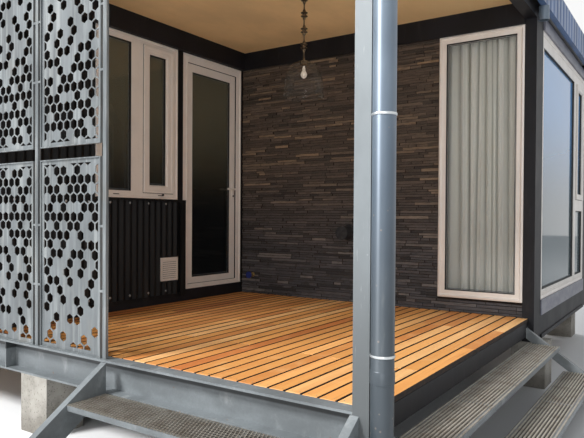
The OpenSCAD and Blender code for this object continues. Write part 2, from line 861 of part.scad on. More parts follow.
// Sloping bar in the xz plane, from height top at x = 0 down to the ground at x = run
module stringer(top, run, h) {
    slope = (top + deck_h) / run;
    depth = h * sqrt(1 + slope * slope);
    rotate([90, 0, 0]) linear_extrude(stringer_t)
        polygon([[0, top], [run, -deck_h], [run - depth / slope, -deck_h], [0, top - depth]]);
}

// A tread with an angle edge and a mesh top, its near left top corner at the origin
module tread(w, d) {
    edge = 5;
    translate([0, 0, -tread_h]) difference() {
        cube([w, d, tread_h]);
        block([edge, edge, -over], [w - edge, d - edge, tread_h - mesh_t]);
    }
}

module front_steps_frame() site() color("lightslategray")
    for (x = [front_x0, front_x1 - stringer_t])
        translate([x, 0, 0]) rotate([0, 0, -90]) translate([0, stringer_t, 0])
            stringer(-front_drop, front_out, front_stringer_h);

module front_treads() site() color("gray")
    for (k = [1:tread_n])
        translate([front_x0 + stringer_t, tread_out - k * front_going, -k * rise])
            tread(front_steps_w - 2 * stringer_t, front_tread_d);

side_steps_y0 = post_w + stringer_t + steps_clear;
side_steps_y1 = end_post_y - steps_clear;

module side_steps_frame() site() color("lightslategray")
    for (y = [side_steps_y0, side_steps_y1])
        translate([0, y, 0]) stringer(-side_drop, side_out, side_stringer_h);

module side_treads() site() color("gray")
    for (k = [1:tread_n])
        translate([(k - 1) * side_going + side_gap, side_steps_y0, -k * rise])
            tread(side_going - 2 * side_gap, side_steps_y1 - stringer_t - side_steps_y0);

// White louvred vent low on the porch's left wall
vent_y = 1545;
vent_z = 190;

module vent_grille() site() color("white") {
    plate_t = 10;
    slat_n = 6;
    slat_t = 4;
    rim = 18;
    pitch = (vent_w - 2 * rim) / slat_n;
    translate([wall_x, vent_y, vent_z]) difference() {
        cube([plate_t, vent_w, vent_w]);
        for (i = [0:slat_n - 1])
            block([plate_t / 2, rim, rim + i * pitch + slat_t],
                  [plate_t + over, vent_w - rim, rim + (i + 1) * pitch]);
    }
}

// Black round flue terminal on the slip wall: a flange, an open pipe and the pipe inside
flue_at = [-1485, porch_d, 598];

module flue_terminal() site() color("black") translate(flue_at) rotate([90, 0, 0]) {
    wall = 4;
    foot = 20;
    flange_w = 15;
    flange_t = 8;
    inner_short = 30;
    difference() {
        cylinder(h = flue_l, r = flue_r, $fn = 64);
        translate([0, 0, foot]) cylinder(h = flue_l, r = flue_r - wall, $fn = 64);
    }
    cylinder(h = flange_t, r = flue_r + flange_w, $fn = 64);
    cylinder(h = flue_l - inner_short, r = flue_r / 2, $fn = 48);
}

// Small tap low on the slip wall: a rose, a body, a spout, a spindle and a round handle
tap_at = [-2540, porch_d, 176];

module wall_tap() site() color("silver") translate(tap_at) {
    rose = [22, 6];
    body = [9, 52];
    spout = [7, 30];
    spindle = [5, 68];
    handle = [34, 10];
    spout_y = -36;
    handle_y = -62;
    for (c = [rose, body, spindle])
        rotate([90, 0, 0]) cylinder(r = c[0], h = c[1], $fn = 48);
    translate([0, handle_y, 0]) rotate([90, 0, 0]) cylinder(r = handle[0], h = handle[1], $fn = 48);
    translate([0, spout_y, -spout[1]]) cylinder(r = spout[0], h = spout[1], $fn = 48);
}

// Pendant lamp: rose, turned stem with four pairs of rings, and a glass drop.
// Heights are below the ceiling.
lamp_at = [-1115, 1300, ceiling_h];
drop_h = 85;
neck_z = lamp_drop - drop_h;
shade_neck_r = 30;

// Right side of one turned spindle with its two rings, from its foot up
function spindle(z) = [for (p = [[5, -45], [10, -25], [10, -16], [22, -13], [22, -9], [11, -6],
                                 [11, 6], [22, 9], [22, 13], [10, 16], [10, 25], [5, 45]])
                       [p[0], p[1] - z]];

module pendant_lamp() site() color("silver") translate(lamp_at) rotate_extrude($fn = 48) {
    first_ring = 167;
    ring_step = 102.5;
    rose_r = 45;
    polygon(concat(
        [[0, -lamp_drop], [13, -lamp_drop + 5], [21, -lamp_drop + 15], [23, -lamp_drop + 26],
         [19, -lamp_drop + 45], [10, -lamp_drop + 62], [8, -neck_z],
         [12, -neck_z], [shade_neck_r - 3, -neck_z + 4], [shade_neck_r - 3, -neck_z + 30],
         [6, -neck_z + 34]],
        [for (i = [3:-1:0]) each spindle(first_ring + i * ring_step)],
        [[5, -60], [14, -50], [rose_r, -16], [rose_r, 0], [0, 0]]));
}

// Clear bell shade, open at its foot, whose neck sits round the lamp's cup
module lamp_shade() site() color("lightblue", 0.3) translate(lamp_at) rotate_extrude($fn = 64) {
    t = 3;
    top = -neck_z + 26;
    side = [[shade_neck_r, 0], [shade_r * 0.55, -0.09 * shade_h], [shade_r * 0.8, -0.27 * shade_h],
            [shade_r * 0.93, -0.52 * shade_h], [shade_r, -shade_h]];
    polygon(concat([for (p = side) [p[0], top + p[1]]],
                   [for (i = [4:-1:0]) [side[i][0] - t, top + side[i][1] - (i < 4 ? t : 0)]]));
}

// Pale curtain behind the tall window and the rail that it hangs from
curtain_gap = 15;
curtain_side = 20;
curtain_post_gap = 8;
curtain_foot = 20;
curtain_play = 0.3;
curtain_top = head_h + 20;
curtain_rail_h = 20;
curtain_back = slip_in + curtain_gap + curtain_d;

module curtain() site() color("ivory")
    block([tall_x0 - curtain_side, slip_in + curtain_gap, floor_h + curtain_foot],
          [end_post_x - curtain_post_gap, curtain_back, curtain_top]);

module curtain_rail() site() color("white") {
    z = curtain_top + curtain_play;
    block([tall_x0 - 2 * curtain_side, slip_in, z], [end_post_x, curtain_back, z + curtain_rail_h]);
}

piers();
front_beam();
base_rails();
deck_frame();
deck();
porch_post();
end_posts();
downpipe();
downpipe_stub();
floor();
porch_side_wall();
porch_door_header();
porch_back_wall();
front_wall();
left_wall();
back_wall();
end_trim();
roof_beams();
porch_ceiling();
room_ceiling();
roof_panels();
fascia();
porch_window_frame();
porch_window_glass();
tall_window_frame();
tall_window_glass();
end_window_frame();
end_window_glass();
plain_window_frames();
plain_window_glass();
door_frame();
door_leaf();
door_glass();
door_handle();
lower_screens();
upper_screens();
screen_uprights();
front_steps_frame();
front_treads();
side_steps_frame();
side_treads();
vent_grille();
flue_terminal();
wall_tap();
pendant_lamp();
lamp_shade();
curtain();
curtain_rail();
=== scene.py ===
"""Dresses the shipping container cabin: boards, cladding, stone slips, profiles, treads,
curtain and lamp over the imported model, with their finishes, the stage and the camera."""
import math
import random

import bmesh
import bpy
from bpy.props import FloatProperty, FloatVectorProperty, IntProperty, PointerProperty
from mathutils import Matrix, Vector


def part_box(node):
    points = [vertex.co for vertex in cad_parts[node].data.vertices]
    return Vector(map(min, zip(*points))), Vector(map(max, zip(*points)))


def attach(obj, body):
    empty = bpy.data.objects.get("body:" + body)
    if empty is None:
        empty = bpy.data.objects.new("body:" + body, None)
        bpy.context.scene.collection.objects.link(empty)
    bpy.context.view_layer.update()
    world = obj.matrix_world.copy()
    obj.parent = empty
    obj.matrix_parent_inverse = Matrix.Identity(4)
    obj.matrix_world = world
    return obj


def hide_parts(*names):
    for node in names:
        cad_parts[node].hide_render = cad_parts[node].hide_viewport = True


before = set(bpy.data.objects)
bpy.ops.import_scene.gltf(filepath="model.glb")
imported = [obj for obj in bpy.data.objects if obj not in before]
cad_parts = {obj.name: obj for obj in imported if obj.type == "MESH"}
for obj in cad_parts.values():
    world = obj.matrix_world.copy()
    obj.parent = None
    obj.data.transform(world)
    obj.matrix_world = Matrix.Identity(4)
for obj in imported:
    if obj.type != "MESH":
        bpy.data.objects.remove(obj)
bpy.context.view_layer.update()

bl_info = {
    "name": "Container Cabin",
    "version": (1, 0, 0),
    "blender": (4, 5, 0),
    "location": "3D View > Sidebar > Cabin",
    "description": "Boards, cladding, profiles and finishes of a shipping container cabin",
    "category": "Object",
}

# The working corner: the deck's right edge, the front of the porch post, the deck's top
CORNER = Vector((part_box("deck")[1].x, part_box("porch_post")[0].y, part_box("deck")[1].z))
X, Y, UP = Vector((1, 0, 0)), Vector((0, 1, 0)), Vector((0, 0, 1))


def at(x, y, z):
    """A point given in metres from the working corner."""
    return CORNER + Vector((x, y, z))


def mm(*points):
    """Points given in millimetres, turned to metres."""
    return [tuple(c / 1000 for c in point) for point in points]


def turn(count):
    """Angles evenly round a circle."""
    return [2 * math.pi * i / count for i in range(count)]


def circle(count):
    """Points evenly round a circle of radius 1."""
    return [(math.cos(t), math.sin(t)) for t in turn(count)]


def paint(red, green, blue):
    """A colour read off as 0 to 255, turned linear."""
    return tuple(((c / 255 + 0.055) / 1.055) ** 2.4 if c > 10 else c / 255 / 12.92
                 for c in (red, green, blue))


# Sizes and colours that a user would change


def length(name, default, low, use):
    return FloatProperty(name=name, description=use, default=default, min=low, unit="LENGTH")


def tint(name, colour, use):
    return FloatVectorProperty(name=name, description=use, subtype="COLOR",
                               default=paint(*colour))


class CabinSizes(bpy.types.PropertyGroup):
    """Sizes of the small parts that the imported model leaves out."""

    board_pitch: length("Board pitch", 0.0828, 0.05, "Width of a deck board with its gap")
    board_gap: length("Board gap", 0.009, 0.002, "Gap between two deck boards")
    wave_pitch: length("Wave pitch", 0.076, 0.03, "Width of one wave of the cladding")
    porch_wave: length("Porch wave", 0.065, 0.03, "Width of one wave beside the door")
    wave_depth: length("Wave depth", 0.016, 0.005, "Depth of the cladding's waves")
    slip_height: length("Slip height", 0.0225, 0.01, "Mean height of a row of stone slips")
    slip_relief: length("Slip relief", 0.013, 0.002, "Most that a slip lies behind the face")
    mesh_short: length("Mesh pitch", 0.019, 0.01, "Short way of the tread's diamonds")
    mesh_long: length("Mesh length", 0.042, 0.02, "Long way of the tread's diamonds")
    rib_pitch: length("Rib pitch", 0.0178, 0.01, "Width of one rib of the side treads")
    fold_count: IntProperty(name="Curtain folds", description="Number of folds of the curtain",
                            default=9, min=3)
    seed: IntProperty(name="Seed", description="Start of the random spread of boards and slips",
                      default=7)


class CabinColours(bpy.types.PropertyGroup):
    """Main colours of the finishes."""

    grey_steel: tint("Grey steel", (124, 130, 133), "Beam, post, screens and steps")
    dark_steel: tint("Dark steel", (24, 24, 28), "Rails, end posts and roof beams")
    black_sheet: tint("Black sheet", (10, 10, 12), "Corrugated walls")
    slip_stone: tint("Stone slips", (92, 79, 68), "Slips on the porch's back wall")
    # Lighter than the bare wood's own colour: partly painted sunlight on the deck
    deck_wood: tint("Deck wood", (244, 174, 98), "Deck boards")
    ceiling_board: tint("Ceiling", (240, 206, 152), "Boards of the porch ceiling")
    white_profile: tint("White profile", (236, 229, 222), "Window and door frames")
    # The fascia's blue is partly a painted sky reflection
    fascia_blue: tint("Fascia", (76, 106, 152), "Blue-grey sheet round the roof")
    curtain_cream: tint("Curtain", (250, 249, 240), "Cloth behind the tall window")


def sizes():
    return bpy.context.scene.cabin_sizes


def hue(colour):
    """A linear colour, from three numbers of 0 to 255, or from those or the name of a user's
    colour with a factor that makes it lighter or darker."""
    if len(colour) == 3:
        return paint(*colour)
    base, amount = colour
    named = isinstance(base, str)
    base = getattr(bpy.context.scene.cabin_colours, base) if named else paint(*base)
    return tuple(c * amount for c in base)


# Finishes


class Level:
    """A number that varies over a surface; arithmetic on it adds Math nodes."""

    def __init__(self, nodes, socket):
        self.nodes, self.socket = nodes, socket

    def __add__(self, other):
        return self.nodes.math("ADD", self, other)

    __radd__ = __add__

    def __sub__(self, other):
        return self.nodes.math("SUBTRACT", self, other)

    def __rsub__(self, other):
        return self.nodes.math("SUBTRACT", other, self)

    def __mul__(self, other):
        return self.nodes.math("MULTIPLY", self, other)

    __rmul__ = __mul__

    def between(self, low, high):
        """0 below low, 1 above high, and a smooth rise from one to the other."""
        return self.nodes.node("ShaderNodeMapRange", {"interpolation_type": "SMOOTHSTEP"},
                               {0: self, 1: low, 2: high})


class Nodes:
    """The nodes of one material or world, cleared first."""

    def __init__(self, owner):
        owner.use_nodes = True
        self.tree = owner.node_tree
        self.tree.nodes.clear()

    def give(self, socket, value):
        if isinstance(value, Level):
            value = value.socket
        if isinstance(value, bpy.types.NodeSocket):
            self.tree.links.new(value, socket)
        elif hasattr(value, "__len__"):
            full = tuple(value) + (1.0,)
            socket.default_value = full[:len(socket.default_value)]
        else:
            socket.default_value = value

    def node(self, kind, settings=None, values=None, out=0):
        """Adds a node: its settings first, then the values or links of its sockets."""
        node = self.tree.nodes.new(kind)
        for key, value in (settings or {}).items():
            if key == "stops":
                marks = node.color_ramp.elements
                while len(marks) < len(value):
                    marks.new(0.5)
                for mark, (place, colour) in zip(marks, value):
                    mark.position = place
                    mark.color = (*colour, 1.0)
            else:
                setattr(node, key, value)
        for key, value in (values or {}).items():
            self.give(node.inputs[key], value)
        if not node.outputs:
            return node
        result = node.outputs[out]
        return Level(self, result) if result.type == "VALUE" else result

    def math(self, operation, *values):
        return self.node("ShaderNodeMath", {"operation": operation}, dict(enumerate(values)))


class Look(Nodes):
    """A material round one Principled shader, whose colour is laid on in layers."""

    def __init__(self, name, colour, roughness, more=None):
        self.material = bpy.data.materials.new(name)
        super().__init__(self.material)
        self.tone = hue(colour)
        surface = self.node("ShaderNodeBsdfPrincipled", {}, {
            "Base Color": self.tone, "Roughness": roughness, **(more or {})})
        self.shader = surface.node
        self.node("ShaderNodeOutputMaterial", {}, {"Surface": surface})
        self.place = self.node("ShaderNodeTexCoord", out=3)

    def set(self, name, value):
        self.give(self.shader.inputs[name], value)

    def layer(self, amount, colour):
        """Lays a colour over those before it, by an amount from 0 to 1."""
        self.tone = self.mix(amount, self.tone, hue(colour))
        self.set("Base Color", self.tone)

    def axis(self, index):
        return self.node("ShaderNodeSeparateXYZ", {}, {0: self.place}, out=index)

    def low(self, foot, top):
        """1 below the foot's height, 0 above the top's."""
        return 1 - self.axis(2).between(foot, top)

    def stretched(self, stretch, shift):
        """Places whose stretch gives a texture's features per metre, along each axis or all."""
        if not hasattr(stretch, "__len__"):
            stretch = (stretch,) * 3
        scaled = self.node("ShaderNodeVectorMath", {"operation": "MULTIPLY"},
                           {0: self.place, 1: stretch})
        return self.node("ShaderNodeVectorMath", {"operation": "ADD"},
                         {0: scaled, 1: (shift, shift * 1.7, shift * 2.3)})

    def cloud(self, stretch, detail=3.0, rough=0.55, shift=0.0):
        """Soft noise, 0 to 1."""
        return self.node("ShaderNodeTexNoise", {"noise_dimensions": "3D"},
                         {"Vector": self.stretched(stretch, shift), "Scale": 1.0,
                          "Detail": detail, "Roughness": rough})

    def cells(self, stretch, shift):
        return self.node("ShaderNodeTexVoronoi", {},
                         {"Vector": self.stretched(stretch, shift), "Scale": 1.0})

    def shade(self):
        """The number that each face of a made piece carries."""
        return self.node("ShaderNodeAttribute", {"attribute_name": "shade"}, out=2)

    def mix(self, amount, one, other):
        return self.node("ShaderNodeMix", {"data_type": "RGBA"}, {0: amount, 6: one, 7: other},
                         out=2)

    def ramp(self, level, places, tones):
        return self.node("ShaderNodeValToRGB", {"stops": list(zip(places, map(hue, tones)))},
                         {0: level})

    def relief(self, height, depth, strength):
        """Bumps of the given height level, depth metres from 0 to 1."""
        self.set("Normal", self.node("ShaderNodeBump", {}, {
            "Strength": strength, "Distance": depth, "Height": height}))


SATIN = {"Specular IOR Level": 0.25}


def bare(colour, rough):
    """Brushed metal of handles, screws, straps and the tap."""
    return dict(start=colour, rough=rough, noises=[((30, 30, 220), 3, 0.6)],
                layers=[(0, 0.4, 0.7, 0.4, (colour, 0.6))], gloss=(0, rough, 0.2),
                more={"Metallic": 0.85})


# Finishes made of soft noises alone, as layered() reads them
LAYERED = {
    # Light grey paint over steel: mottled clouds, paler smears, a few flecks of rust
    "grey steel": dict(
        start=("grey_steel", 0.74), rough=0.45,
        noises=[((3, 3, 4.5), 5, 0.6), ((9, 9, 5), 4, 0.6, 4), (90, 2, 0.5, 9), (26, 3, 0.6, 2)],
        layers=[(0, 0.36, 0.66, 1, ("grey_steel", 1.1)), (1, 0.56, 0.74, 0.3, (196, 199, 198)),
                (2, 0.3, 0.8, 0.22, ("grey_steel", 0.55)), (3, 0.7, 0.76, 0.7, (128, 92, 66))],
        gloss=(0, 0.38, 0.25), bumps=({2: 0.3, 0: 1}, 0.0015, 0.4)),
    # Pierced sheet: soft upright clouds and streaks of a paler grey
    "screen steel": dict(
        start=("grey_steel", 0.468), rough=0.4,
        noises=[((9, 9, 2.6), 4, 0.55, 1), ((46, 46, 2.2), 3, 0.5, 6), ((5, 5, 3), 4, 0.6, 11)],
        layers=[(0, 0.34, 0.68, 1, ("grey_steel", 0.708)), (1, 0.45, 0.75, 0.45, (164, 168, 167)),
                (2, 0.56, 0.74, 0.4, (122, 118, 110))],
        gloss=(0, 0.3, 0.3), bumps=({1: 1}, 0.0006, 0.4)),
    "dark steel": dict(
        start=("dark_steel", 0.8), rough=0.42, more=SATIN,
        noises=[(4, 5, 0.6, 1.5), ((22, 22, 5), 4, 0.6, 3)],
        layers=[(0, 0.35, 0.7, 1, ("dark_steel", 1.35)), (1, 0.55, 0.8, 0.2, (74, 73, 72))],
        gloss=(0, 0.4, 0.25), bumps=({1: 1}, 0.0006, 0.3)),
    # Damp dirt with painted shade: dark brown for the sides and undersides of the deck boards, the
    # sheet under their gaps and the wall behind the slips
    "gap grime": dict(start=(26, 18, 14), rough=0.9, noises=[(30, 3, 0.6, 3)],
                      layers=[(0, 0.4, 0.7, 1, (52, 36, 24))]),
    "ceiling board": dict(
        start=("ceiling_board", 0.9), rough=0.7,
        noises=[((1.6, 1.2, 1.6), 4, 0.6, 2), ((40, 3, 40), 4, 0.6, 6)],
        layers=[(0, 0.35, 0.7, 1, ("ceiling_board", 1.07)),
                (1, 0.5, 0.8, 0.16, ("ceiling_board", 0.7))],
        bumps=({1: 1}, 0.0005, 0.3)),
    # Lining of the rooms
    "white board": dict(start=(196, 193, 186), rough=0.7, noises=[(2, 4, 0.6), (140, 2)],
                        layers=[(0, 0.35, 0.7, 1, (214, 211, 204))],
                        bumps=({1: 1}, 0.0004, 0.3)),
    "white profile": dict(
        start=("white_profile", 1), rough=0.3,
        noises=[((9, 9, 5), 4, 0.6, 3), (50, 3, 0.6, 7)],
        layers=[(0, 0.4, 0.75, 0.5, ("white_profile", 0.86)),
                (1, 0.62, 0.8, 0.3, (176, 168, 156))],
        gloss=(0, 0.25, 0.25), bumps=({0: 1}, 0.0004, 0.2)),
    "gasket rubber": dict(start=(20, 20, 21), rough=0.6, noises=[(60, 3)],
                          layers=[(0, 0.5, 0.8, 0.5, (64, 62, 60))]),
    # Grey edge that shows inside a glass unit
    "unit spacer": dict(start=(78, 82, 86), rough=0.5, noises=[(40, 3)],
                        layers=[(0, 0.4, 0.7, 1, (98, 101, 104))]),
    # Worn pale on its crowns, with brown dirt between
    "tread steel": dict(
        start=(172, 165, 154), rough=0.5, noises=[(9, 4, 0.6, 3), (70, 3, 0.6, 6)],
        layers=[(0, 0.42, 0.72, 0.6, (118, 104, 86)), (1, 0.5, 0.7, 0.5, (200, 196, 188))],
        gloss=(0, 0.4, 0.3), more={"Metallic": 0.2}),
    # Blue-grey sheet whose blue is partly a painted sky reflection; soft upright bands, lighter
    # and darker, paint the reflections of its ribs; pale dust in patches
    "fascia sheet": dict(
        start=("fascia_blue", 0.78), rough=0.35,
        noises=[((2.6, 2.6, 0.3), 2, 0.5, 4), ((14, 14, 4), 4, 0.6, 1)],
        layers=[(0, 0.35, 0.65, 1, ("fascia_blue", 1.22)), (1, 0.55, 0.8, 0.2, (150, 152, 154))],
        gloss=(1, 0.28, 0.2)),
    # Grey-mauve flashing at the glazed end
    "trim sheet": dict(
        start=(106, 107, 120), rough=0.42, noises=[((4, 4, 12), 4, 0.6, 2), (40, 3, 0.6, 4)],
        layers=[(0, 0.35, 0.7, 1, (134, 134, 144)), (1, 0.55, 0.8, 0.35, (160, 154, 146))],
        bumps=({1: 1}, 0.0006, 0.3)),
    "roof sheet": dict(
        start=(116, 120, 122), rough=0.45,
        noises=[((1.4, 1.4, 1), 5, 0.6, 2), ((2, 9, 2), 4, 0.6, 6)],
        layers=[(0, 0.35, 0.7, 1, (150, 153, 154)), (1, 0.55, 0.8, 0.4, (128, 110, 94))],
        gloss=(0, 0.36, 0.3), more={"Metallic": 0.3}),
    "lamp bronze": dict(start=(104, 86, 64), rough=0.36, noises=[(90, 4, 0.6, 2)],
                        layers=[(0, 0.4, 0.7, 1, (52, 43, 34))], gloss=(0, 0.28, 0.3),
                        more={"Metallic": 0.8}),
    "flue black": dict(start=(26, 26, 29), rough=0.6, noises=[(30, 4, 0.6)],
                       layers=[(0, 0.4, 0.7, 1, (46, 45, 46))], bumps=({0: 1}, 0.0005, 0.3)),
    "tap blue": dict(start=(22, 42, 120), rough=0.4, noises=[(90, 3)],
                     layers=[(0, 0.5, 0.8, 0.4, (60, 76, 130))]),
    "bare metal": bare((176, 178, 180), 0.32),
    "tap brass": bare((150, 128, 84), 0.38),
    "strap zinc": bare((214, 218, 220), 0.25),
}


def layered(name, start, rough, noises, layers, gloss=None, bumps=None, more=None):
    """A finish of noises over a start colour. Each layer is a noise's number, the two values
    between which it comes up, how much of it, and its colour. gloss is a noise's number with
    the least roughness and its rise, and bumps the noises' shares with depth and strength."""
    look = Look(name, start, rough, more)
    clouds = [look.cloud(*noise) for noise in noises]
    for number, low, high, amount, colour in layers:
        rise = clouds[number].between(low, high)
        look.layer(rise * amount if amount < 1 else rise, colour)
    if gloss:
        number, least, rise = gloss
        look.set("Roughness", least + rise * clouds[number])
    if bumps:
        shares, depth, strength = bumps
        look.relief(sum(clouds[number] * share for number, share in shares.items()), depth,
                    strength)
    return look


def beam_steel():
    """Grey steel with a painted shadow: a dark band just under the beam's lip."""
    look = layered("beam steel", **LAYERED["grey steel"])
    height, lip = look.axis(2), CORNER.z - 0.013
    # Painted shadow of the lip: a dark band just below it
    painted_lip_shadow = height.between(lip - 0.046, lip - 0.036) * (1 - height.between(lip - 0.001, lip))
    look.layer(painted_lip_shadow * 0.85, (24, 25, 27))
    return look


def post_steel():
    """The porch post: light grey, duller and scratched lower down, with paint flecks."""
    look = Look("post steel", ("grey_steel", 0.92), 0.42)
    clouds = look.cloud((4, 4, 2), 4, 0.6, 3)
    scratches = look.cloud((160, 160, 9), 2, 0.6, 5).between(0.68, 0.78)
    flecks = look.cells(38, 2).between(0.16, 0.10) * look.cloud(3.5, 2, 0.5, 7).between(0.62, 0.7)
    look.layer(clouds.between(0.3, 0.7), ("grey_steel", 1.14))
    look.layer(look.low(0.5, 1.4) * (0.6 + 0.4 * clouds), (78, 81, 82))
    look.layer(scratches * 0.35, (218, 220, 218))
    look.layer(flecks * 0.45, (214, 215, 212))
    look.set("Roughness", 0.36 + 0.2 * clouds)
    look.relief(scratches + clouds, 0.0008, 0.4)
    return look


def pipe_paint():
    """Blue-grey satin paint of the downpipe, with small rusty and white marks."""
    look = Look("pipe paint", (94, 107, 121), 0.3, {"Metallic": 0.25})
    clouds = look.cloud((5, 5, 2), 3, 0.5, 8)
    dust = look.cloud((30, 30, 6), 3, 0.6, 2)
    marks = look.cells(30, 4).between(0.15, 0.09) * look.cloud(4, 2, 0.5).between(0.5, 0.6)
    look.layer(clouds.between(0.3, 0.7), (118, 131, 144))
    look.layer(look.low(0.7, 1.7) * 0.85, (60, 66, 70))
    look.layer(dust.between(0.58, 0.8) * 0.25, (130, 132, 130))
    look.layer(marks * 0.4, (146, 132, 120))
    look.set("Roughness", 0.28 + 0.2 * clouds)
    return look


def black_sheet():
    """Black painted corrugated sheet with a thin veil of dust in its lower part."""
    look = Look("black sheet", ("black_sheet", 0.75), 0.36, SATIN)
    clouds = look.cloud((3, 3, 1), 4, 0.6, 6)
    dust = look.cloud((16, 16, 2), 4, 0.6, 1)
    look.layer(clouds.between(0.3, 0.7), ("black_sheet", 1.3))
    look.layer(dust.between(0.45, 0.8) * (0.04 + 0.14 * look.low(0.5, 1.3)), (104, 98, 92))
    look.set("Roughness", 0.4 + 0.25 * clouds)
    return look


def slip_stone():
    """Split stone slips: brown, grey and rusty strips with a rough face, cooler lower down."""
    look = Look("slip stone", ("slip_stone", 1), 0.75)
    tone = look.shade()
    veins = look.cloud((14, 14, 90), 4, 0.65, 3)
    grit = look.cloud(160, 3, 0.6, 5)
    places = (0.0, 0.3, 0.55, 0.8, 1.0)
    cool = look.ramp(tone, places, ((46, 46, 49), (64, 63, 66), (76, 75, 79), (90, 88, 90),
                                    (120, 116, 114)))
    warm = look.ramp(tone, places, (("slip_stone", 0.4), ("slip_stone", 0.74), ("slip_stone", 1),
                                    (112, 96, 80), (148, 124, 98)))
    look.tone = look.mix(look.axis(2).between(0.7, 1.9), cool, warm)
    look.layer(veins.between(0.42, 0.72) * 0.6, ("slip_stone", 0.35))
    look.layer(grit.between(0.55, 0.8) * 0.35, (150, 138, 124))
    look.set("Roughness", 0.62 + 0.25 * veins)
    look.relief(veins * 0.9 + grit * 0.5, 0.006, 0.9)
    return look


def deck_wood():
    """Oiled hardwood: each board its own tone, with darker bands and grain, and paler spots."""
    look = Look("deck wood", ("deck_wood", 1), 0.5)
    grain = look.cloud((120, 3.2, 120), 5, 0.65, 2)
    bands = look.cloud((26, 1.4, 26), 3, 0.5, 8)
    spots = look.cloud((7, 5, 7), 4, 0.6, 5)
    look.tone = look.ramp(look.shade(), (0.0, 0.3, 0.65, 1.0), (
        (198, 116, 60), ("deck_wood", 0.84), ("deck_wood", 1), (250, 198, 134)))
    look.layer(bands.between(0.4, 0.7) * 0.35, (214, 134, 68))
    look.layer(grain.between(0.5, 0.78) * 0.4, (160, 92, 48))
    look.layer(spots.between(0.52, 0.75) * 0.3, (252, 206, 146))
    look.set("Roughness", 0.42 + 0.25 * grain)
    look.relief(grain, 0.0012, 0.5)
    return look


def floor_wood():
    """Laid planks of the rooms' floor, 140 mm wide."""
    look = Look("floor wood", (138, 104, 72), 0.5)
    grain = look.cloud((60, 2.4, 60), 4, 0.6, 1)
    seam = look.math("MODULO", look.axis(0) + 20, 0.14)
    look.layer(look.cells((7.14, 0.8, 0.1), 0.3), (168, 136, 100))
    look.layer(grain.between(0.5, 0.8) * 0.4, (104, 76, 50))
    look.layer(1 - seam.between(0.002, 0.005), (52, 38, 26))
    look.relief(grain, 0.0008, 0.4)
    return look


def pier_concrete():
    """Rough cast concrete of the piers, damp at the ground."""
    look = Look("pier concrete", (128, 124, 116), 0.85)
    clouds = look.cloud(5, 5, 0.65, 1)
    pores = look.cells(60, 2).between(0.30, 0.12)
    look.layer(clouds.between(0.3, 0.7), (170, 166, 158))
    look.layer(look.low(0.02, 0.16) * 0.5, (92, 86, 78))
    look.layer(pores * 0.5, (70, 66, 60))
    look.relief(clouds - pores * 0.6, 0.004, 0.6)
    return look


def curtain_cloth():
    """Thin woven cloth, cream, with painted shade in the valleys of its folds and a cooler grey
    towards the bottom.
    """
    look = Look("curtain cloth", (150, 148, 134), 0.9, {"Sheen Weight": 0.25})
    across, down = (look.math("SINE", look.axis(i) * 1400) for i in (0, 2))
    slub = look.cloud((160, 160, 6), 3, 0.6, 3)
    # Painted fold shade: faces with a low shade number keep the darker start colour
    look.layer(look.shade(), ("curtain_cream", 1))
    look.layer(look.low(0.8, 1.9) * 0.35, (198, 204, 204))
    look.layer(slub.between(0.45, 0.75) * 0.3, ("curtain_cream", 0.7))
    look.relief(across * down * 0.4 + slub, 0.0005, 0.4)
    return look


def lamp_crystal():
    """Pale cut glass of the lamp's drop; its darker cells are painted shade of the facets."""
    look = Look("lamp crystal", (240, 232, 220), 0.08, {"Coat Weight": 0.6})
    cut = look.cells(120, 1)
    # Painted facet shade: darker cells over the pale glass
    look.layer(cut, (188, 176, 160))
    look.relief(cut, 0.001, 0.6)
    return look


def glass(name, body, clearness, upper=None, edge=1.0):
    """Pane: its body's colour shows where it isn't clear, and it mirrors more at a slant; the
    colour given for its upper part is a painted reflection.
    """
    look = Look(name, body, 0.04, {"Specular IOR Level": 0.8})
    haze = look.cloud((2, 2, 3), 3, 0.5, 2)
    slant = look.node("ShaderNodeFresnel", {}, {"IOR": 1.5})
    # Painted reflection: a colour laid over the pane, rising from 1.2 m to 2.3 m height
    if upper:
        look.layer(look.axis(2).between(1.2, 2.3), upper)
    look.set("Alpha", (1 - clearness) + clearness * edge * slant + 0.05 * edge * haze)
    look.set("Roughness", 0.03 + 0.06 * haze)
    return look


SPECIAL = {
    "beam steel": beam_steel, "post steel": post_steel, "pipe paint": pipe_paint,
    "black sheet": black_sheet, "slip stone": slip_stone, "deck wood": deck_wood,
    "floor wood": floor_wood, "pier concrete": pier_concrete, "curtain cloth": curtain_cloth,
    "lamp crystal": lamp_crystal,
    "clear glass": lambda: glass("clear glass", (150, 158, 154), 0.93, edge=0.6),
    # Dark glass: its dark body paints the shade of the rooms behind it, and its olive upper part a
    # painted reflection
    "dark glass": lambda: glass("dark glass", (16, 21, 24), 0.36, (112, 111, 94)),
    # End glass: its blue-grey body and sky-blue upper part paint the sky's reflection
    "end glass": lambda: glass("end glass", (92, 112, 120), 0.25, (104, 170, 232)),
    "shade glass": lambda: glass("shade glass", (90, 86, 78), 0.985, edge=0.16),
}
made = {}


def finish(name):
    """The material of that finish, made once."""
    if name not in made:
        look = layered(name, **LAYERED[name]) if name in LAYERED else SPECIAL[name]()
        made[name] = look.material
    return made[name]


# Shapes


class Side:
    """A flat side of the building: a point on it, the way along it and the way out of it."""

    def __init__(self, start, along, out):
        self.start, self.along, self.out = start, along, out

    def at(self, u, z, d=0.0):
        return self.start + self.along * u + UP * z + self.out * d


def spun(centre, profile, count, axes=(X, Y, UP), reach=lambda r, h, t: r):
    """Rows of points round the last axis: profile points are a radius and a distance along
    it, and reach changes a radius by its angle."""
    side, other, axis = axes
    return [[centre + axis * h + side * (reach(r, h, t) * math.cos(t))
             + other * (reach(r, h, t) * math.sin(t)) for t in turn(count)] for r, h in profile]


BOX_FACES = [(0, 1, 3, 2), (4, 6, 7, 5), (0, 4, 5, 1), (2, 3, 7, 6), (0, 2, 6, 4), (1, 5, 7, 3)]


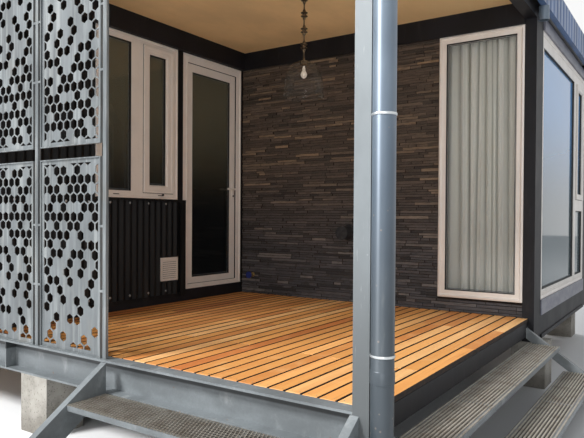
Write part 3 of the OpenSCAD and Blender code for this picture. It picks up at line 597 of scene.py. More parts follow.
class Form:
    """A mesh being made: its points and faces, and for each face a finish and a shade."""

    def __init__(self):
        self.points, self.faces, self.kinds, self.shades = [], [], [], []

    def add(self, points, faces, kind=0, shade=0.5):
        start = len(self.points)
        self.points.extend(points)
        self.faces.extend([start + i for i in f] for f in faces)
        self.kinds.extend([kind] * len(faces))
        self.shades.extend([shade] * len(faces))

    def block(self, place, low, high, kind=0, shade=0.5):
        """A box between two corners, each given as u, z, d and carried by place."""
        corners = [place(u, z, d) for u in (low[0], high[0]) for z in (low[1], high[1])
                   for d in (low[2], high[2])]
        self.add(corners, BOX_FACES, kind, shade)

    def skin(self, rows, kind=0, shade=0.5, closed=False, loop=False):
        """Quads between rows of equally many points; loop joins the last row to the first,
        closed joins each row's last point to its first."""
        count, wide = len(rows), len(rows[0])
        faces = []
        for i in range(count if loop else count - 1):
            a, b = i * wide, (i + 1) % count * wide
            for j in range(wide if closed else wide - 1):
                k = (j + 1) % wide
                faces.append((a + j, a + k, b + k, b + j))
        self.add([p for row in rows for p in row], faces, kind, shade)

    def ring(self, place, low, high, profile, kind=0):
        """A mitred frame: the profile's points, each an inset from the rectangle's edge and
        a distance out, are carried round the rectangle low to high, given as u, z."""
        rows = [[place(low[0] + s, low[1] + s, d), place(high[0] - s, low[1] + s, d),
                 place(high[0] - s, high[1] - s, d), place(low[0] + s, high[1] - s, d)]
                for s, d in profile]
        self.skin(rows, kind, closed=True, loop=True)

    def tube(self, rings, kind=0):
        """A closed solid through rings of points, capped at both ends."""
        self.skin(rings, kind, closed=True)
        for ring in (rings[0], rings[-1]):
            self.add(list(ring), [tuple(range(len(ring)))], kind)

    def turned(self, centre, axis, profile, count=24, kind=0):
        """A turned solid: profile points are a radius and a distance along the axis."""
        axis = axis.normalized()
        side = axis.orthogonal().normalized()
        self.tube(spun(centre, profile, count, (side, axis.cross(side), axis)), kind)

    def piece(self, name, finishes, slot, body="cabin", bevel=0.0, smooth=None, replaces=()):
        """The finished object, riding on its body."""
        mesh = bpy.data.meshes.new(name)
        mesh.from_pydata([tuple(p) for p in self.points], [], self.faces)
        mesh.polygons.foreach_set("material_index", self.kinds)
        shade = mesh.attributes.new("shade", "FLOAT", "FACE")
        shade.data.foreach_set("value", self.shades)
        work = bmesh.new()
        work.from_mesh(mesh)
        bmesh.ops.recalc_face_normals(work, faces=work.faces)
        work.to_mesh(mesh)
        work.free()
        if smooth is not None:
            mesh.shade_smooth()
            mesh.set_sharp_from_angle(angle=math.radians(smooth))
        thing = bpy.data.objects.new(name, mesh)
        bpy.context.scene.collection.objects.link(thing)
        for one in finishes:
            mesh.materials.append(finish(one))
        if bevel:
            soften(thing, bevel)
        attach(thing, body)
        if replaces:
            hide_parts(*replaces)
        return thing


def soften(thing, width):
    """Small rounds on a piece's edges."""
    bevel = thing.modifiers.new("edges", "BEVEL")
    bevel.width = width
    bevel.segments = 1
    bevel.limit_method = "ANGLE"
    bevel.angle_limit = math.radians(40)
    bevel.harden_normals = False


def dress(node, look, bevel=0.0):
    """Gives a CAD node its finish and softened edges."""
    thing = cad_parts[node]
    thing.data.materials.clear()
    thing.data.materials.append(finish(look))
    if bevel:
        soften(thing, bevel)


def patches(u0, u1, z0, z1, holes):
    """The rectangle u0 to u1, z0 to z1 less its holes, as upright strips."""
    cuts = sorted({u0, u1, *[min(max(h[i], u0), u1) for h in holes for i in (0, 2)]})
    for a, b in zip(cuts, cuts[1:]):
        low = z0
        for h in sorted((h for h in holes if h[0] < b - 1e-6 and h[2] > a + 1e-6),
                        key=lambda h: h[1]):
            if h[1] > low:
                yield a, b, low, h[1]
            low = h[3]
        if low < z1:
            yield a, b, low, z1


def wave_step(wide, wave):
    """Width of one wave where a whole number of them fills the wall."""
    return wide / round(wide / wave)


def corrugated(form, side, u0, u1, z0, z1, holes, wave):
    """Waved sheet whose crests lie in the side's plane, with a whole number of waves."""
    pitch, deep = wave_step(u1 - u0, wave), sizes().wave_depth
    step = pitch / 8
    for a, b, low, high in patches(u0, u1, z0, z1, holes):
        first, last = math.ceil((a - u0) / step + 1e-6), math.floor((b - u0) / step - 1e-6)
        marks = [a] + [u0 + i * step for i in range(first, last + 1)] + [b]
        depth = [-deep * (1 - math.cos(2 * math.pi * (u - u0) / pitch)) / 2 for u in marks]
        form.skin([[side.at(u, z, d) for u, d in zip(marks, depth)] for z in (low, high)])


def lined_slab(form, side, u0, u1, z0, z1, holes, front, back, kind=0):
    """The wall behind the sheet, from front to back inside the side's plane, with its lining."""
    for a, b, low, high in patches(u0, u1, z0, z1, holes):
        form.block(side.at, (a, low, -back), (b, high, -front), kind)
        form.block(side.at, (a, low, -back), (b, high, -back + 0.002), 1)


# A screw's washer and head, each point a radius and a distance out
SCREW = mm((9.75, 0), (9.75, 1.5), (6.5, 2), (6.5, 5), (3.9, 6.2))


def screw_row(form, side, places, z):
    """Washered screw heads along a wall."""
    for u in places:
        form.turned(side.at(u, z, -0.001), side.out, SCREW, 8, 2)


def crests(u0, u1, wave):
    """Places of every third wave crest of a wall from u0 to u1."""
    pitch = wave_step(u1 - u0, wave)
    return [u0 + i * pitch for i in range(1, round((u1 - u0) / pitch), 3)]


def ribbed(wide, ribs, flat, crest, shares):
    """Outline of a folded sheet, as places along it with a depth: each rib takes the pitch's
    four shares to rise from flat to crest and to come back."""
    pitch = wide / ribs
    marks = [(0.0, flat)]
    for i in range(ribs):
        marks += [(pitch * (i + share), d) for share, d in zip(shares, (flat, crest, crest, flat))]
    return marks + [(wide, flat)]


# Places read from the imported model


def span(node):
    """Lowest and highest corner of a node, measured from the working corner."""
    low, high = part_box(node)
    return low - CORNER, high - CORNER


DECK, SIDE_WALL, BACK_SLIPS, FRONT, LEFT, BACK, ROOF, FASCIA = map(span, (
    "deck", "porch_side_wall", "porch_back_wall", "front_wall", "left_wall", "back_wall",
    "roof_panels", "fascia"))
PORCH_WINDOW, TALL_WINDOW, END_WINDOW, DOOR_FRAME, DOOR_LEAF = map(span, (
    "porch_window_frame", "tall_window_frame", "end_window_frame", "door_frame", "door_leaf"))

WALL_X, WALL_TOP = SIDE_WALL[1].x, SIDE_WALL[1].z
WALL_THICK = WALL_X - SIDE_WALL[0].x
PORCH_BACK, BACK_Y, LEFT_X = BACK_SLIPS[0].y, BACK[1].y, LEFT[0].x
WINDOW_W = PORCH_WINDOW[1].y - PORCH_WINDOW[0].y
SILL, HEAD = PORCH_WINDOW[0].z, PORCH_WINDOW[1].z
BAR = 0.055
LEAF_THICK = 0.048

# Window places on the walls that the photograph doesn't show, each a near edge along the wall
FRONT_WINDOWS = [(LEFT_X + 0.08 + SIDE_WALL[0].x) / 2 - WINDOW_W / 2]
BACK_WINDOWS = [LEFT_X + share * (ROOF[1].x - LEFT_X) - WINDOW_W / 2 for share in (0.25, 0.7)]
LEFT_WINDOWS = [PORCH_BACK / 2 - WINDOW_W / 2, (PORCH_BACK + BACK_Y) / 2 - WINDOW_W / 2]

# Sides of the building; z runs from the deck's top
PORCH_SIDE = Side(at(WALL_X, 0, 0), Y, X)
FRONT_SIDE = Side(at(0, FRONT[0].y, 0), X, -Y)
LEFT_SIDE = Side(at(LEFT_X, 0, 0), Y, -X)
BACK_SIDE = Side(at(0, BACK_Y, 0), X, Y)
SLIP_SIDE = Side(at(0, PORCH_BACK, 0), X, -Y)


# The pieces


class CABIN_OT_deck(bpy.types.Operator):
    """Lay the deck boards from front to back, with butt joints, gaps and screws"""

    bl_idname = "cabin.deck"
    bl_label = "Deck boards"

    head = mm((3.6, 0), (3.6, 1.6), (2.4, 1.8))
    # Half a butt joint's gap, the share of joists with a joint, and a screw's place on a board
    end_gap, joint_share, screw_inset = 0.0015, 0.42, 0.018

    def execute(self, context):
        spread = random.Random(sizes().seed)
        boards, screws, under = Form(), Form(), Form()
        low, high = DECK
        thick = high.z - low.z
        post = span("porch_post")
        gap = sizes().board_gap
        count = round((high.x - low.x) / sizes().board_pitch)
        pitch = (high.x - low.x + gap) / count
        joists = [low.y + 0.03, low.y + 0.64, low.y + 1.27, low.y + 1.9, high.y - 0.03]
        for i in range(count):
            x0 = low.x + i * pitch
            x1 = x0 + pitch - gap
            front = post[1].y + 0.004 if x1 > post[0].x - 0.004 else low.y
            rear = PORCH_BACK - 0.014 if x1 > -0.05 else high.y
            front += spread.uniform(0.0, 0.003) if front == low.y else 0.0
            cuts = [front, *(y for y in joists[1:4] if spread.random() < self.joint_share), rear]
            for a, b in zip(cuts, cuts[1:]):
                lift = spread.uniform(-0.0012, 0.0)
                boards.block(at, (x0 + spread.uniform(0, 0.001), a + self.end_gap, -thick),
                             (x1 - spread.uniform(0, 0.001), b - self.end_gap, lift),
                             0, spread.random())
                # Both long sides and the underside take the dark gap finish: damp dirt with
                # painted shade
                boards.kinds[-6:] = [1, 1, 0, 0, 1, 0]
            for y in joists:
                for x in (x0 + self.screw_inset, x1 - self.screw_inset):
                    if front + 0.01 < y < rear - 0.01:
                        screws.turned(at(x, y + spread.uniform(-0.004, 0.004), -0.0022), UP,
                                      self.head, 8)
        boards.piece("deck_boards", ["deck wood", "gap grime"], "deck_wood", bevel=0.0022,
                     replaces=["deck"])
        # A dark sheet under the boards' gaps: painted shade of the space under the deck
        under.block(at, (low.x + 0.035, post[1].y + 0.01, -thick),
                    (high.x - 0.055, PORCH_BACK - 0.02, -thick + 0.003))
        under.piece("deck_underlay", ["gap grime"], "deck_wood")
        screws.piece("deck_screws", ["bare metal"], "dark_steel")
        return {"FINISHED"}


class CABIN_OT_cladding(bpy.types.Operator):
    """Clad the black walls with waved sheet, trims and screws round their windows"""

    bl_idname = "cabin.cladding"
    bl_label = "Corrugated walls"

    trim = mm((0, -20), (0, 3), (24, 3), (26, -20))

    def wall(self, name, side, u0, u1, z0, windows, replaced, screw_z):
        wave, front = sizes().wave_pitch, sizes().wave_depth + 0.002
        holes = [(u, SILL, u + WINDOW_W, HEAD) for u in windows]
        form = Form()
        corrugated(form, side, u0, u1, z0, WALL_TOP, holes, wave)
        lined_slab(form, side, u0, u1, z0, WALL_TOP, holes, front, WALL_THICK)
        for a, foot, b, top in holes:
            form.ring(side.at, (a - 0.022, foot - 0.022), (b + 0.022, top + 0.022), self.trim)
        for z in screw_z:
            screw_row(form, side, [u for u in crests(u0, u1, wave) if not any(
                h[0] - 0.03 < u < h[2] + 0.03 and h[1] < z < h[3] for h in holes)], z)
        form.block(side.at, (u0, z0, -front), (u1, z0 + 0.05, 0.002))
        form.piece(name, ["black sheet", "white board", "bare metal"], "black_sheet",
                   smooth=50, replaces=replaced)

    def execute(self, context):
        self.wall("front_cladding", FRONT_SIDE, FRONT[0].x, FRONT[1].x, FRONT[0].z,
                  FRONT_WINDOWS, ["front_wall"], (0.1, 0.82, 2.2))
        self.wall("left_cladding", LEFT_SIDE, LEFT[0].y, LEFT[1].y, LEFT[0].z,
                  LEFT_WINDOWS, ["left_wall"], (0.12, 0.82, 2.2))
        self.wall("back_cladding", BACK_SIDE, BACK[0].x, BACK[1].x, BACK[0].z,
                  BACK_WINDOWS, ["back_wall"], (0.12, 0.82, 2.2))
        return {"FINISHED"}


class CABIN_OT_porch_side(bpy.types.Operator):
    """Clad the porch's left wall beside its window and doorway, with its dark trims"""

    bl_idname = "cabin.porch_side"
    bl_label = "Porch side wall"

    def execute(self, context):
        form = Form()
        wave, front = sizes().porch_wave, sizes().wave_depth + 0.002
        base, end = DOOR_FRAME[0].z - 0.052, SIDE_WALL[1].y
        hole = (PORCH_WINDOW[0].y, SILL, PORCH_WINDOW[1].y, HEAD)
        corrugated(form, PORCH_SIDE, 0.0, end, base, WALL_TOP, [hole], wave)
        lined_slab(form, PORCH_SIDE, 0.0, end, base, WALL_TOP, [hole], front, WALL_THICK)
        # The sill below, the porch's front corner, and flat strips at the window and the door
        for u0, z0, d0, u1, z1, d1 in (
                (0.0, SIDE_WALL[0].z, -WALL_THICK, 0.075, base, 0.0),
                (0.0, base, -front, 0.03, WALL_TOP, 0.002),
                (hole[2] + 0.001, SILL - 0.02, -front, end, HEAD + 0.02, 0.003),
                (end - 0.03, base, -front, end + 0.034, SILL - 0.004, 0.008),
                (0.02, SILL - 0.022, -front, end + 0.034, SILL - 0.002, 0.010),
                (0.0, base, -front, end + 0.034, base + 0.028, 0.004)):
            form.block(PORCH_SIDE.at, (u0, z0, d0), (u1, z1, d1))
        for z in (0.105, 0.835):
            screw_row(form, PORCH_SIDE, crests(0.0, end, wave), z)
        for z in (0.83, 0.51, 0.19):
            screw_row(form, PORCH_SIDE, [end + 0.004], z)
        form.piece("porch_side_cladding", ["black sheet", "white board", "bare metal"],
                   "black_sheet", smooth=50, replaces=["porch_side_wall"])
        dress("porch_door_header", "black sheet", 0.003)
        return {"FINISHED"}


class CABIN_OT_slips(bpy.types.Operator):
    """Lay the stone slips of the porch's back wall, row by row"""

    bl_idname = "cabin.slips"
    bl_label = "Stone slips"

    def execute(self, context):
        spread = random.Random(sizes().seed + 1)
        low, high = BACK_SLIPS
        hole = (TALL_WINDOW[0].x, TALL_WINDOW[0].z, high.x, TALL_WINDOW[1].z)
        form = Form()
        # The wall behind the slips takes the dark gap finish: dark joints with painted shade in
        # the recesses between the slips
        lined_slab(form, SLIP_SIDE, low.x, high.x, low.z, high.z, [hole],
                   sizes().slip_relief + 0.006, high.y - low.y, 2)
        z = -0.002
        while z < HEAD + 0.012:
            height = sizes().slip_height * spread.uniform(0.82, 1.2)
            u = WALL_X - spread.uniform(0.0, 0.2)
            while u < high.x:
                wide = spread.choice((0.08, 0.12, 0.18, 0.26, 0.34)) * spread.uniform(0.8, 1.25)
                a, b = max(u, WALL_X), min(u + wide, high.x)
                if z + height > hole[1] and z < hole[3]:
                    b = min(b, hole[0] - 0.001)
                if b - a > 0.008:
                    self.slip(form, spread, a, b, z, z + height)
                u += wide
            z += height
        form.piece("stone_slips", ["slip stone", "white board", "gap grime"], "slip_stone",
                   replaces=["porch_back_wall"])
        return {"FINISHED"}

    def slip(self, form, spread, u0, u1, z0, z1):
        """One slip with a split face, a little behind the wall's face."""
        depth = -sizes().slip_relief * spread.random() ** 1.6
        count = max(2, round((u1 - u0) / 0.045) + 1)
        gap, side = 0.0021, 0.010
        rows = []
        for z, back in ((z0 + gap, side), (z0 + gap, 0.0), ((z0 + z1) / 2, 0.0),
                        (z1 - gap, 0.0), (z1 - gap, side)):
            row = []
            for i in range(count):
                u = u0 + gap + (u1 - u0 - 2 * gap) * i / (count - 1)
                d = min(0.0, depth + spread.uniform(-0.0022, 0.0022))
                rise = 0.0 if back else spread.uniform(-0.0007, 0.0007)
                row.append(SLIP_SIDE.at(u, z + rise, depth - back if back else d))
            rows.append(row)
        form.skin(rows, 0, min(1.0, max(0.0, spread.gauss(0.48, 0.26))))


class CABIN_OT_windows(bpy.types.Operator):
    """Fit sashes, beads, gaskets and glass to all the windows"""

    bl_idname = "cabin.windows"
    bl_label = "Windows"

    # Outlines for rings: an inset from the edge and a distance out
    seal = mm((0, -5), (4, -6.5), (6.5, -19.5), (0, -19.5))
    spacer = mm((11, -19.5), (15.5, -19.5), (15.5, -20.2), (11, -20.2))
    joint = mm((-4.5, 0.6), (-0.3, 0.6), (-0.3, -2), (-4.5, -2))
    knob = mm((9, 0), (9, 8), (6, 12))
    # The sash's bars from their outer edge, at 1, to the glass, at 0, with the distance out
    sash = [(1.0, 0.0), (1.0, 0.012), (0.95, 0.014), (0.70, 0.014), (0.64, 0.011),
            (0.20, 0.011), (0.06, 0.004), (0.02, -0.002)]

    def pane(self, form, place, low, high):
        """Black gasket round one light of a frame, and the grey edge of its glass unit."""
        form.ring(place, low, high, self.seal, 1)
        form.ring(place, low, high, self.spacer, 2)

    def swing(self, form, place, low, high, bars=(BAR,) * 4):
        """The proud sash round an opening light, its bars at the left, foot, right and head,
        with a black strip round it: partly its gasket, partly painted shade in the groove."""
        def corners(share):
            left, foot, right, head = (bar * share for bar in bars)
            return (low[0] - left, low[1] - foot), (high[0] + right, high[1] + head)

        rows = []
        for share, d in self.sash:
            (u0, z0), (u1, z1) = corners(share)
            rows.append([place(u0, z0, d), place(u1, z0, d), place(u1, z1, d), place(u0, z1, d)])
        form.skin(rows, 0, closed=True, loop=True)
        # Black strip round the sash: gasket and painted shade of the groove
        form.ring(place, *corners(1), self.joint, 1)

    def common(self, form, place):
        """The common window: a fixed pane, and a narrow sash beside it."""
        high = HEAD - SILL
        fixed = (BAR, BAR), (WINDOW_W * 0.4, high - BAR)
        swung = (WINDOW_W * 0.494 + 2 * BAR, 2 * BAR), (WINDOW_W - 2 * BAR - 0.027, high - 2 * BAR)
        for light in (fixed, swung):
            self.pane(form, place, *light)
        self.swing(form, place, *swung, (0.066, 0.063, 0.084, 0.063))
        form.ring(place, (0.0, 0.0), (WINDOW_W, high),
                  mm((0, 0), (0, 3), (4, 6), (14, 6), (18, 0)))
        # Covers of the two drain slots, and the knob of the sash's latch
        for u in (0.16, 0.62):
            form.block(place, (u, 0.024, 0.0), (u + 0.055, 0.030, 0.0035), 1)
        out = place(0, 0, 1) - place(0, 0, 0)
        form.turned(place(0.665, 0.033, 0.008), out, self.knob, 12, 1)

    def end_window(self, form):
        """The glazed end: one big pane, and a sash over a small pane beside it."""
        low, high = END_WINDOW
        place = Side(at(high.x, low.y, low.z), Y, X).at
        panes = span("end_window_glass")
        wide, tall = high.y - low.y, high.z - low.z
        foot, top = panes[0].z - low.z, panes[1].z - low.z
        fixed, mullion, transom = 1.5, 0.06, 0.866 - low.z
        lights = [((BAR, foot), (fixed - BAR, top)),
                  ((fixed + mullion, foot), (wide - BAR, transom - BAR)),
                  ((fixed + mullion + BAR, transom + 2 * BAR), (wide - 2 * BAR, top - BAR))]
        for light in lights:
            self.pane(form, place, *light)
        self.swing(form, place, *lights[2])
        form.ring(place, (0.0, 0.0), (wide, tall),
                  mm((0, 0), (0, 3.5), (6, 4.5), (10, 4.5), (22, 0)))
        # Bevelled head over the bar, and the sill's two drip noses
        for z0, z1 in ((tall - 0.035, tall - 0.002), (0.026, 0.032), (0.040, 0.046)):
            form.block(place, (0.0, z0, 0.0), (wide, z1, 0.004))

    def execute(self, context):
        porch, plain, tall_one, end = Form(), Form(), Form(), Form()
        self.common(porch, Side(at(PORCH_WINDOW[1].x, PORCH_WINDOW[0].y, SILL), Y, X).at)
        for u in FRONT_WINDOWS:
            self.common(plain, Side(at(u, FRONT[0].y, SILL), X, -Y).at)
        for u in BACK_WINDOWS:
            self.common(plain, Side(at(u + WINDOW_W, BACK_Y, SILL), -X, Y).at)
        for u in LEFT_WINDOWS:
            self.common(plain, Side(at(LEFT_X, u + WINDOW_W, SILL), -Y, -X).at)
        low, high = TALL_WINDOW
        place = Side(at(low.x, low.y, low.z), X, -Y).at
        wide, tall = high.x - low.x, high.z - low.z
        self.pane(tall_one, place, (BAR, BAR), (wide - BAR, tall - BAR))
        tall_one.ring(place, (0.0, 0.0), (wide, tall),
                      mm((0, 0), (0, 4), (12, 10), (16, 10), (24, 0)))
        self.end_window(end)
        for form, name in ((porch, "porch_window_sash"), (plain, "plain_window_sashes"),
                           (tall_one, "tall_window_beads"), (end, "end_window_sashes")):
            form.piece(name, ["white profile", "gasket rubber", "unit spacer"], "white_pvc")
        for node in ("porch_window_frame", "plain_window_frames", "tall_window_frame",
                     "end_window_frame"):
            dress(node, "white profile", 0.003)
        for node, look in (("porch_window_glass", "dark glass"),
                           ("plain_window_glass", "dark glass"),
                           ("tall_window_glass", "clear glass"),
                           ("end_window_glass", "end glass")):
            dress(node, look)
        return {"FINISHED"}


class CABIN_OT_door(bpy.types.Operator):
    """Fit the door's profiles, gaskets, lock and lever handles"""

    bl_idname = "cabin.door"
    bl_label = "Door"

    edge = mm((0, 0), (0, 5), (4, 7), (16, 7), (20, 0))
    stop = mm((-1.5, -0.5), (2, -2), (2, -13), (-1.5, -13))
    lip = mm((-20, 0), (-17, 2.2), (-9, 2.2), (-6, 0))
    seal = mm((0, -3), (4, -4.5), (6.5, -13.5), (0, -13.5))
    spacer = mm((11, -13.5), (15.5, -13.5), (15.5, -14.2), (11, -14.2))
    rose = mm((12, 0), (12, 12), (9, 14), (8.5, 46))
    lock = mm((9.5, 0), (9.5, 9.5), (8.5, 10.5))
    # The lever from its root to its tip: place along, half depth, half height, distance out
    lever = mm((10, 7, 8, 46), (0, 9, 9, 47), (-30, 7, 9, 47), (-70, 6, 10, 46),
               (-104, 6, 10, 44), (-114, 4, 7, 42))

    def execute(self, context):
        low, high = DOOR_FRAME
        y0, y1 = SIDE_WALL[1].y, PORCH_BACK - 0.02
        place = Side(at(WALL_X - 0.007, y0, low.z), Y, X).at
        wide, tall = y1 - y0, high.z - low.z
        form = Form()
        form.ring(place, (0.0, 0.0), (wide, tall), self.edge)
        for outline, kind in ((self.stop, 1), (self.lip, 0)):
            form.ring(place, (0.071, 0.040), (wide - 0.071, tall - 0.071), outline, kind)
        form.piece("door_frame_edges", ["white profile", "gasket rubber"], "white_pvc")

        pane = span("door_glass")
        wide, tall = pane[1].y - pane[0].y, pane[1].z - pane[0].z
        gaskets, levers = Form(), Form()
        for x, out in ((DOOR_LEAF[1].x, X), (DOOR_LEAF[1].x - LEAF_THICK, -X)):
            place = Side(at(x, pane[0].y, pane[0].z), Y, out).at
            gaskets.ring(place, (0.0, 0.0), (wide, tall), self.seal)
            gaskets.ring(place, (0.0, 0.0), (wide, tall), self.spacer, 1)
            self.handle(levers, x, out)
        gaskets.piece("door_leaf_gaskets", ["gasket rubber", "unit spacer"], "white_pvc",
                      body="door")
        levers.piece("door_levers", ["white profile", "gasket rubber"], "handle_steel",
                     body="door", smooth=40, replaces=["door_handle"])
        for node in ("door_frame", "door_leaf"):
            dress(node, "white profile", 0.0025)
        dress("door_glass", "dark glass")
        return {"FINISHED"}

    def handle(self, form, x, out):
        """A lever, its plate and the lock on one face of the leaf."""
        low, high = span("door_handle")
        half = 0.015
        side = Side(at(x, high.y - half, (low.z + high.z) / 2), Y, out)
        corners = ((-1, -0.94), (-0.7, -1), (0.7, -1), (1, -0.94), (1, 0.94), (0.7, 1), (-0.7, 1),
                   (-1, 0.94))
        form.tube([[side.at((half + grow) * u, (0.085 + grow) * v, d) for u, v in corners]
                   for d, grow in mm((0, 0), (5, 0), (8, -4))])
        form.turned(side.at(0, 0.02), out, self.rose, 20)
        form.tube([[side.at(along, 0.02 + tall * s, reach - 0.009 + thick * c)
                    for c, s in circle(12)] for along, thick, tall, reach in self.lever])
        form.turned(side.at(0, -0.045), out, self.lock, 20, 1)


class CABIN_OT_treads(bpy.types.Operator):
    """Fit the treads: expanded mesh or worn ribs in an angle frame"""

    bl_idname = "cabin.treads"
    bl_label = "Step treads"

    rise = 0.5 / 3
    front_deep, side_deep = 0.2255, 0.214
    rib = [(0.0, -0.0070), (0.08, -0.0008), (0.16, 0.0), (0.44, 0.0), (0.52, -0.0008),
           (0.60, -0.0070)]

    def mesh(self, form, place, wide, deep):
        """Zigzag strands across the tread's depth; neighbours meet at the knots."""
        short, half = sizes().mesh_short, sizes().mesh_long / 2
        for i in range(int(wide / (short / 2)) + 1):
            rows = []
            for j in range(math.ceil(deep / half) + 1):
                swing = short / 4 * (1 if (i + j) % 2 else -1)
                if j * half > deep:
                    swing *= 1 - 2 * (j * half - deep) / half
                u = min(max(i * short / 2 + swing, 0.002), wide - 0.002)
                rows.append([place(u + du, z, min(j * half, deep)) for du, z in mm(
                    (-1.4, -4.2), (1.6, -3.6), (1.4, 0), (-1.6, -0.6))])
            form.skin(rows, 1, closed=True)

    def ribs(self, form, place, wide, deep):
        """Worn lengthwise ribs."""
        count = round(deep / sizes().rib_pitch)
        pitch = deep / count
        for i in range(count):
            form.tube([[place(u, z, pitch * (i + 0.2 + share)) for share, z in self.rib]
                       for u in (0.001, wide - 0.001)], 1)

    def flight(self, name, node, deep, fill):
        """Two treads of one flight, each filled over a dark plate that paints the shade under the
        mesh and in the grooves between the ribs; those with ribs run along the cabin's depth."""
        low, high = span(node)
        sideways = fill == self.ribs
        starts = (low.x, high.x - deep) if sideways else (high.y - deep, low.y)
        wide = high.y - low.y if sideways else high.x - low.x
        tall, edge, flat, half = 0.030, 0.004, 0.026, 0.012
        top_z, plate_z, foot = -0.0045, -0.0070, -0.0085
        form = Form()
        for k, start in enumerate(starts, 1):
            def place(u, z, v, start=start, top=-k * self.rise):
                if sideways:
                    return at(start + v, low.y + u, top + z)
                return at(low.x + u, start + v, top + z)

            # The angle frame's upright legs, its flat legs and two flats across
            for u0, z, v0, u1, v1 in (
                    (0, -tall, 0, wide, edge), (0, -tall, deep - edge, wide, deep),
                    (0, -tall, edge, edge, deep - edge),
                    (wide - edge, -tall, edge, wide, deep - edge),
                    (edge, foot, edge, wide - edge, flat),
                    (edge, foot, deep - flat, wide - edge, deep - edge),
                    (wide / 3 - half, foot, edge, wide / 3 + half, deep - edge),
                    (wide * 2 / 3 - half, foot, edge, wide * 2 / 3 + half, deep - edge)):
                form.block(place, (u0, z, v0), (u1, top_z, v1))
            # Dark plate under the mesh and ribs: painted shade
            form.block(place, (0.002, foot, 0.002), (wide - 0.002, plate_z, deep - 0.002), 2)
            fill(form, place, wide, deep)
        form.piece(name, ["grey steel", "tread steel", "dark steel"], "tread_steel",
                   replaces=[node])

    def execute(self, context):
        self.flight("front_tread_mesh", "front_treads", self.front_deep, self.mesh)
        self.flight("side_tread_mesh", "side_treads", self.side_deep, self.ribs)
        dress("front_steps_frame", "grey steel", 0.002)
        dress("side_steps_frame", "grey steel", 0.002)
        return {"FINISHED"}


class CABIN_OT_roof(bpy.types.Operator):
    """Fold the fascia and lay the ribbed roof sheet"""

    bl_idname = "cabin.roof"
    bl_label = "Fascia and roof"

    cap = mm((9, 0), (9, 2), (6, 3), (6, 4.5))

    def execute(self, context):
        low, high = FASCIA
        tall = high.z - low.z
        form = Form()
        for x, y, along, out in ((low.x, low.y, X, -Y), (high.x, low.y, Y, X),
                                 (high.x, high.y, -X, Y), (low.x, high.y, -Y, -X)):
            place = Side(at(x, y, low.z), along, out).at
            wide = abs((high - low).dot(along))
            marks = ribbed(wide, round(wide / 0.125), 0.0, -0.005, (0.40, 0.44, 0.56, 0.60))
            form.skin([[place(u, z, d * folded - inset) for u, d in marks]
                       for z, inset, folded in ((0.0, 0.012, 0), (0.0, 0.0, 0), (0.012, 0.0, 1),
                                                (tall - 0.014, 0.0, 1), (tall, 0.0, 0),
                                                (tall, 0.012, 0))])
            form.block(place, (0.012, 0.0, -0.040), (wide - 0.012, tall, -0.0125))
            form.block(place, (0.0, tall - 0.004, -0.040), (wide, tall, -0.001))
        form.piece("fascia_sheets", ["fascia sheet"], "fascia_sheet", smooth=35,
                   replaces=["fascia"])

        low, high = ROOF
        wide = high.x - low.x
        ribs = round(wide / 0.26)
        marks = ribbed(wide, ribs, -0.022, 0.0, (0.40, 0.46, 0.54, 0.60))
        form = Form()
        form.skin([[at(low.x + u, y, high.z + d) for u, d in marks] for y in (low.y, high.y)])
        form.block(at, low, (high.x, high.y, high.z - 0.024))
        for y in [low.y + (high.y - low.y) * s / 6 for s in range(1, 6)]:
            for i in range(ribs):
                form.turned(at(low.x + (i + 0.5) * wide / ribs, y, high.z - 0.0005), UP,
                            self.cap, 8, 1)
        form.piece("roof_sheets", ["roof sheet", "bare metal"], "roof_sheet",
                   replaces=["roof_panels"])
        return {"FINISHED"}


class CABIN_OT_curtain(bpy.types.Operator):
    """Hang the pleated curtain from its rail behind the tall window"""

    bl_idname = "cabin.curtain"
    bl_label = "Curtain"

    def execute(self, context):
        spread = random.Random(sizes().seed + 2)
        low, high = span("curtain")
        folds, per, levels = sizes().fold_count, 20, 26
        wide, tall, deep = high.x - low.x, high.z - low.z, high.y - low.y
        middle = (low.y + high.y) / 2
        knots = [0.0]
        for _ in range(folds):
            knots.append(knots[-1] + spread.choice((0.45, 0.7, 1.1, 1.7)))
        knots = [k / knots[-1] for k in knots]
        swell = [spread.uniform(0.6, 0.92) for _ in range(folds + 1)]
        lean = [spread.uniform(-0.022, 0.022) for _ in range(folds + 1)]
        # Each face's shade number: high across a fold and low at its valleys, a painted shade of
        # the folds; some folds get a random lift
        light = [min(1.0, pale + 1.5 * math.sin(math.pi * (s + 0.5) / per))
                 for pale in [spread.choice((0.0, 0.35, 0.6)) for _ in range(folds)]
                 for s in range(per)]
        form = Form()
        rows, lengths = [], []
        for j in range(levels + 1):
            drop = j / levels
            row = []
            for k in range(folds * per):
                i, t = k // per, k % per / per
                u, size, shift = (ends[i] * (1 - t) + ends[i + 1] * t
                                  for ends in (knots, swell, lean))
                ripple = 0.10 * math.sin(2 * math.pi * (2 * t + 0.3 * i + 0.2 * drop))
                y = deep * (0.44 - (0.86 * size + ripple) * math.sin(math.pi * t) ** 0.6)
                u = min(max(u * wide + shift * drop, 0.001), wide - 0.001)
                row.append(at(low.x + u, middle + y, high.z - drop * tall))
            row.append(at(high.x - 0.001, middle + 0.44 * deep, high.z - drop * tall))
            rows.append(row)
            lengths.append(sum((b - a).length for a, b in zip(row, row[1:])))
        form.skin(rows)
        # The faces carry the painted fold shade
        form.shades = [light[k % len(light)] for k in range(len(form.faces))]
        cloth = form.piece("curtain_drop", ["curtain cloth"], "curtain_cloth", smooth=180,
                           replaces=["curtain"])
        sum(lengths) / len(lengths)
        dress("curtain_rail", "white profile", 0.002)
        return {"FINISHED"}


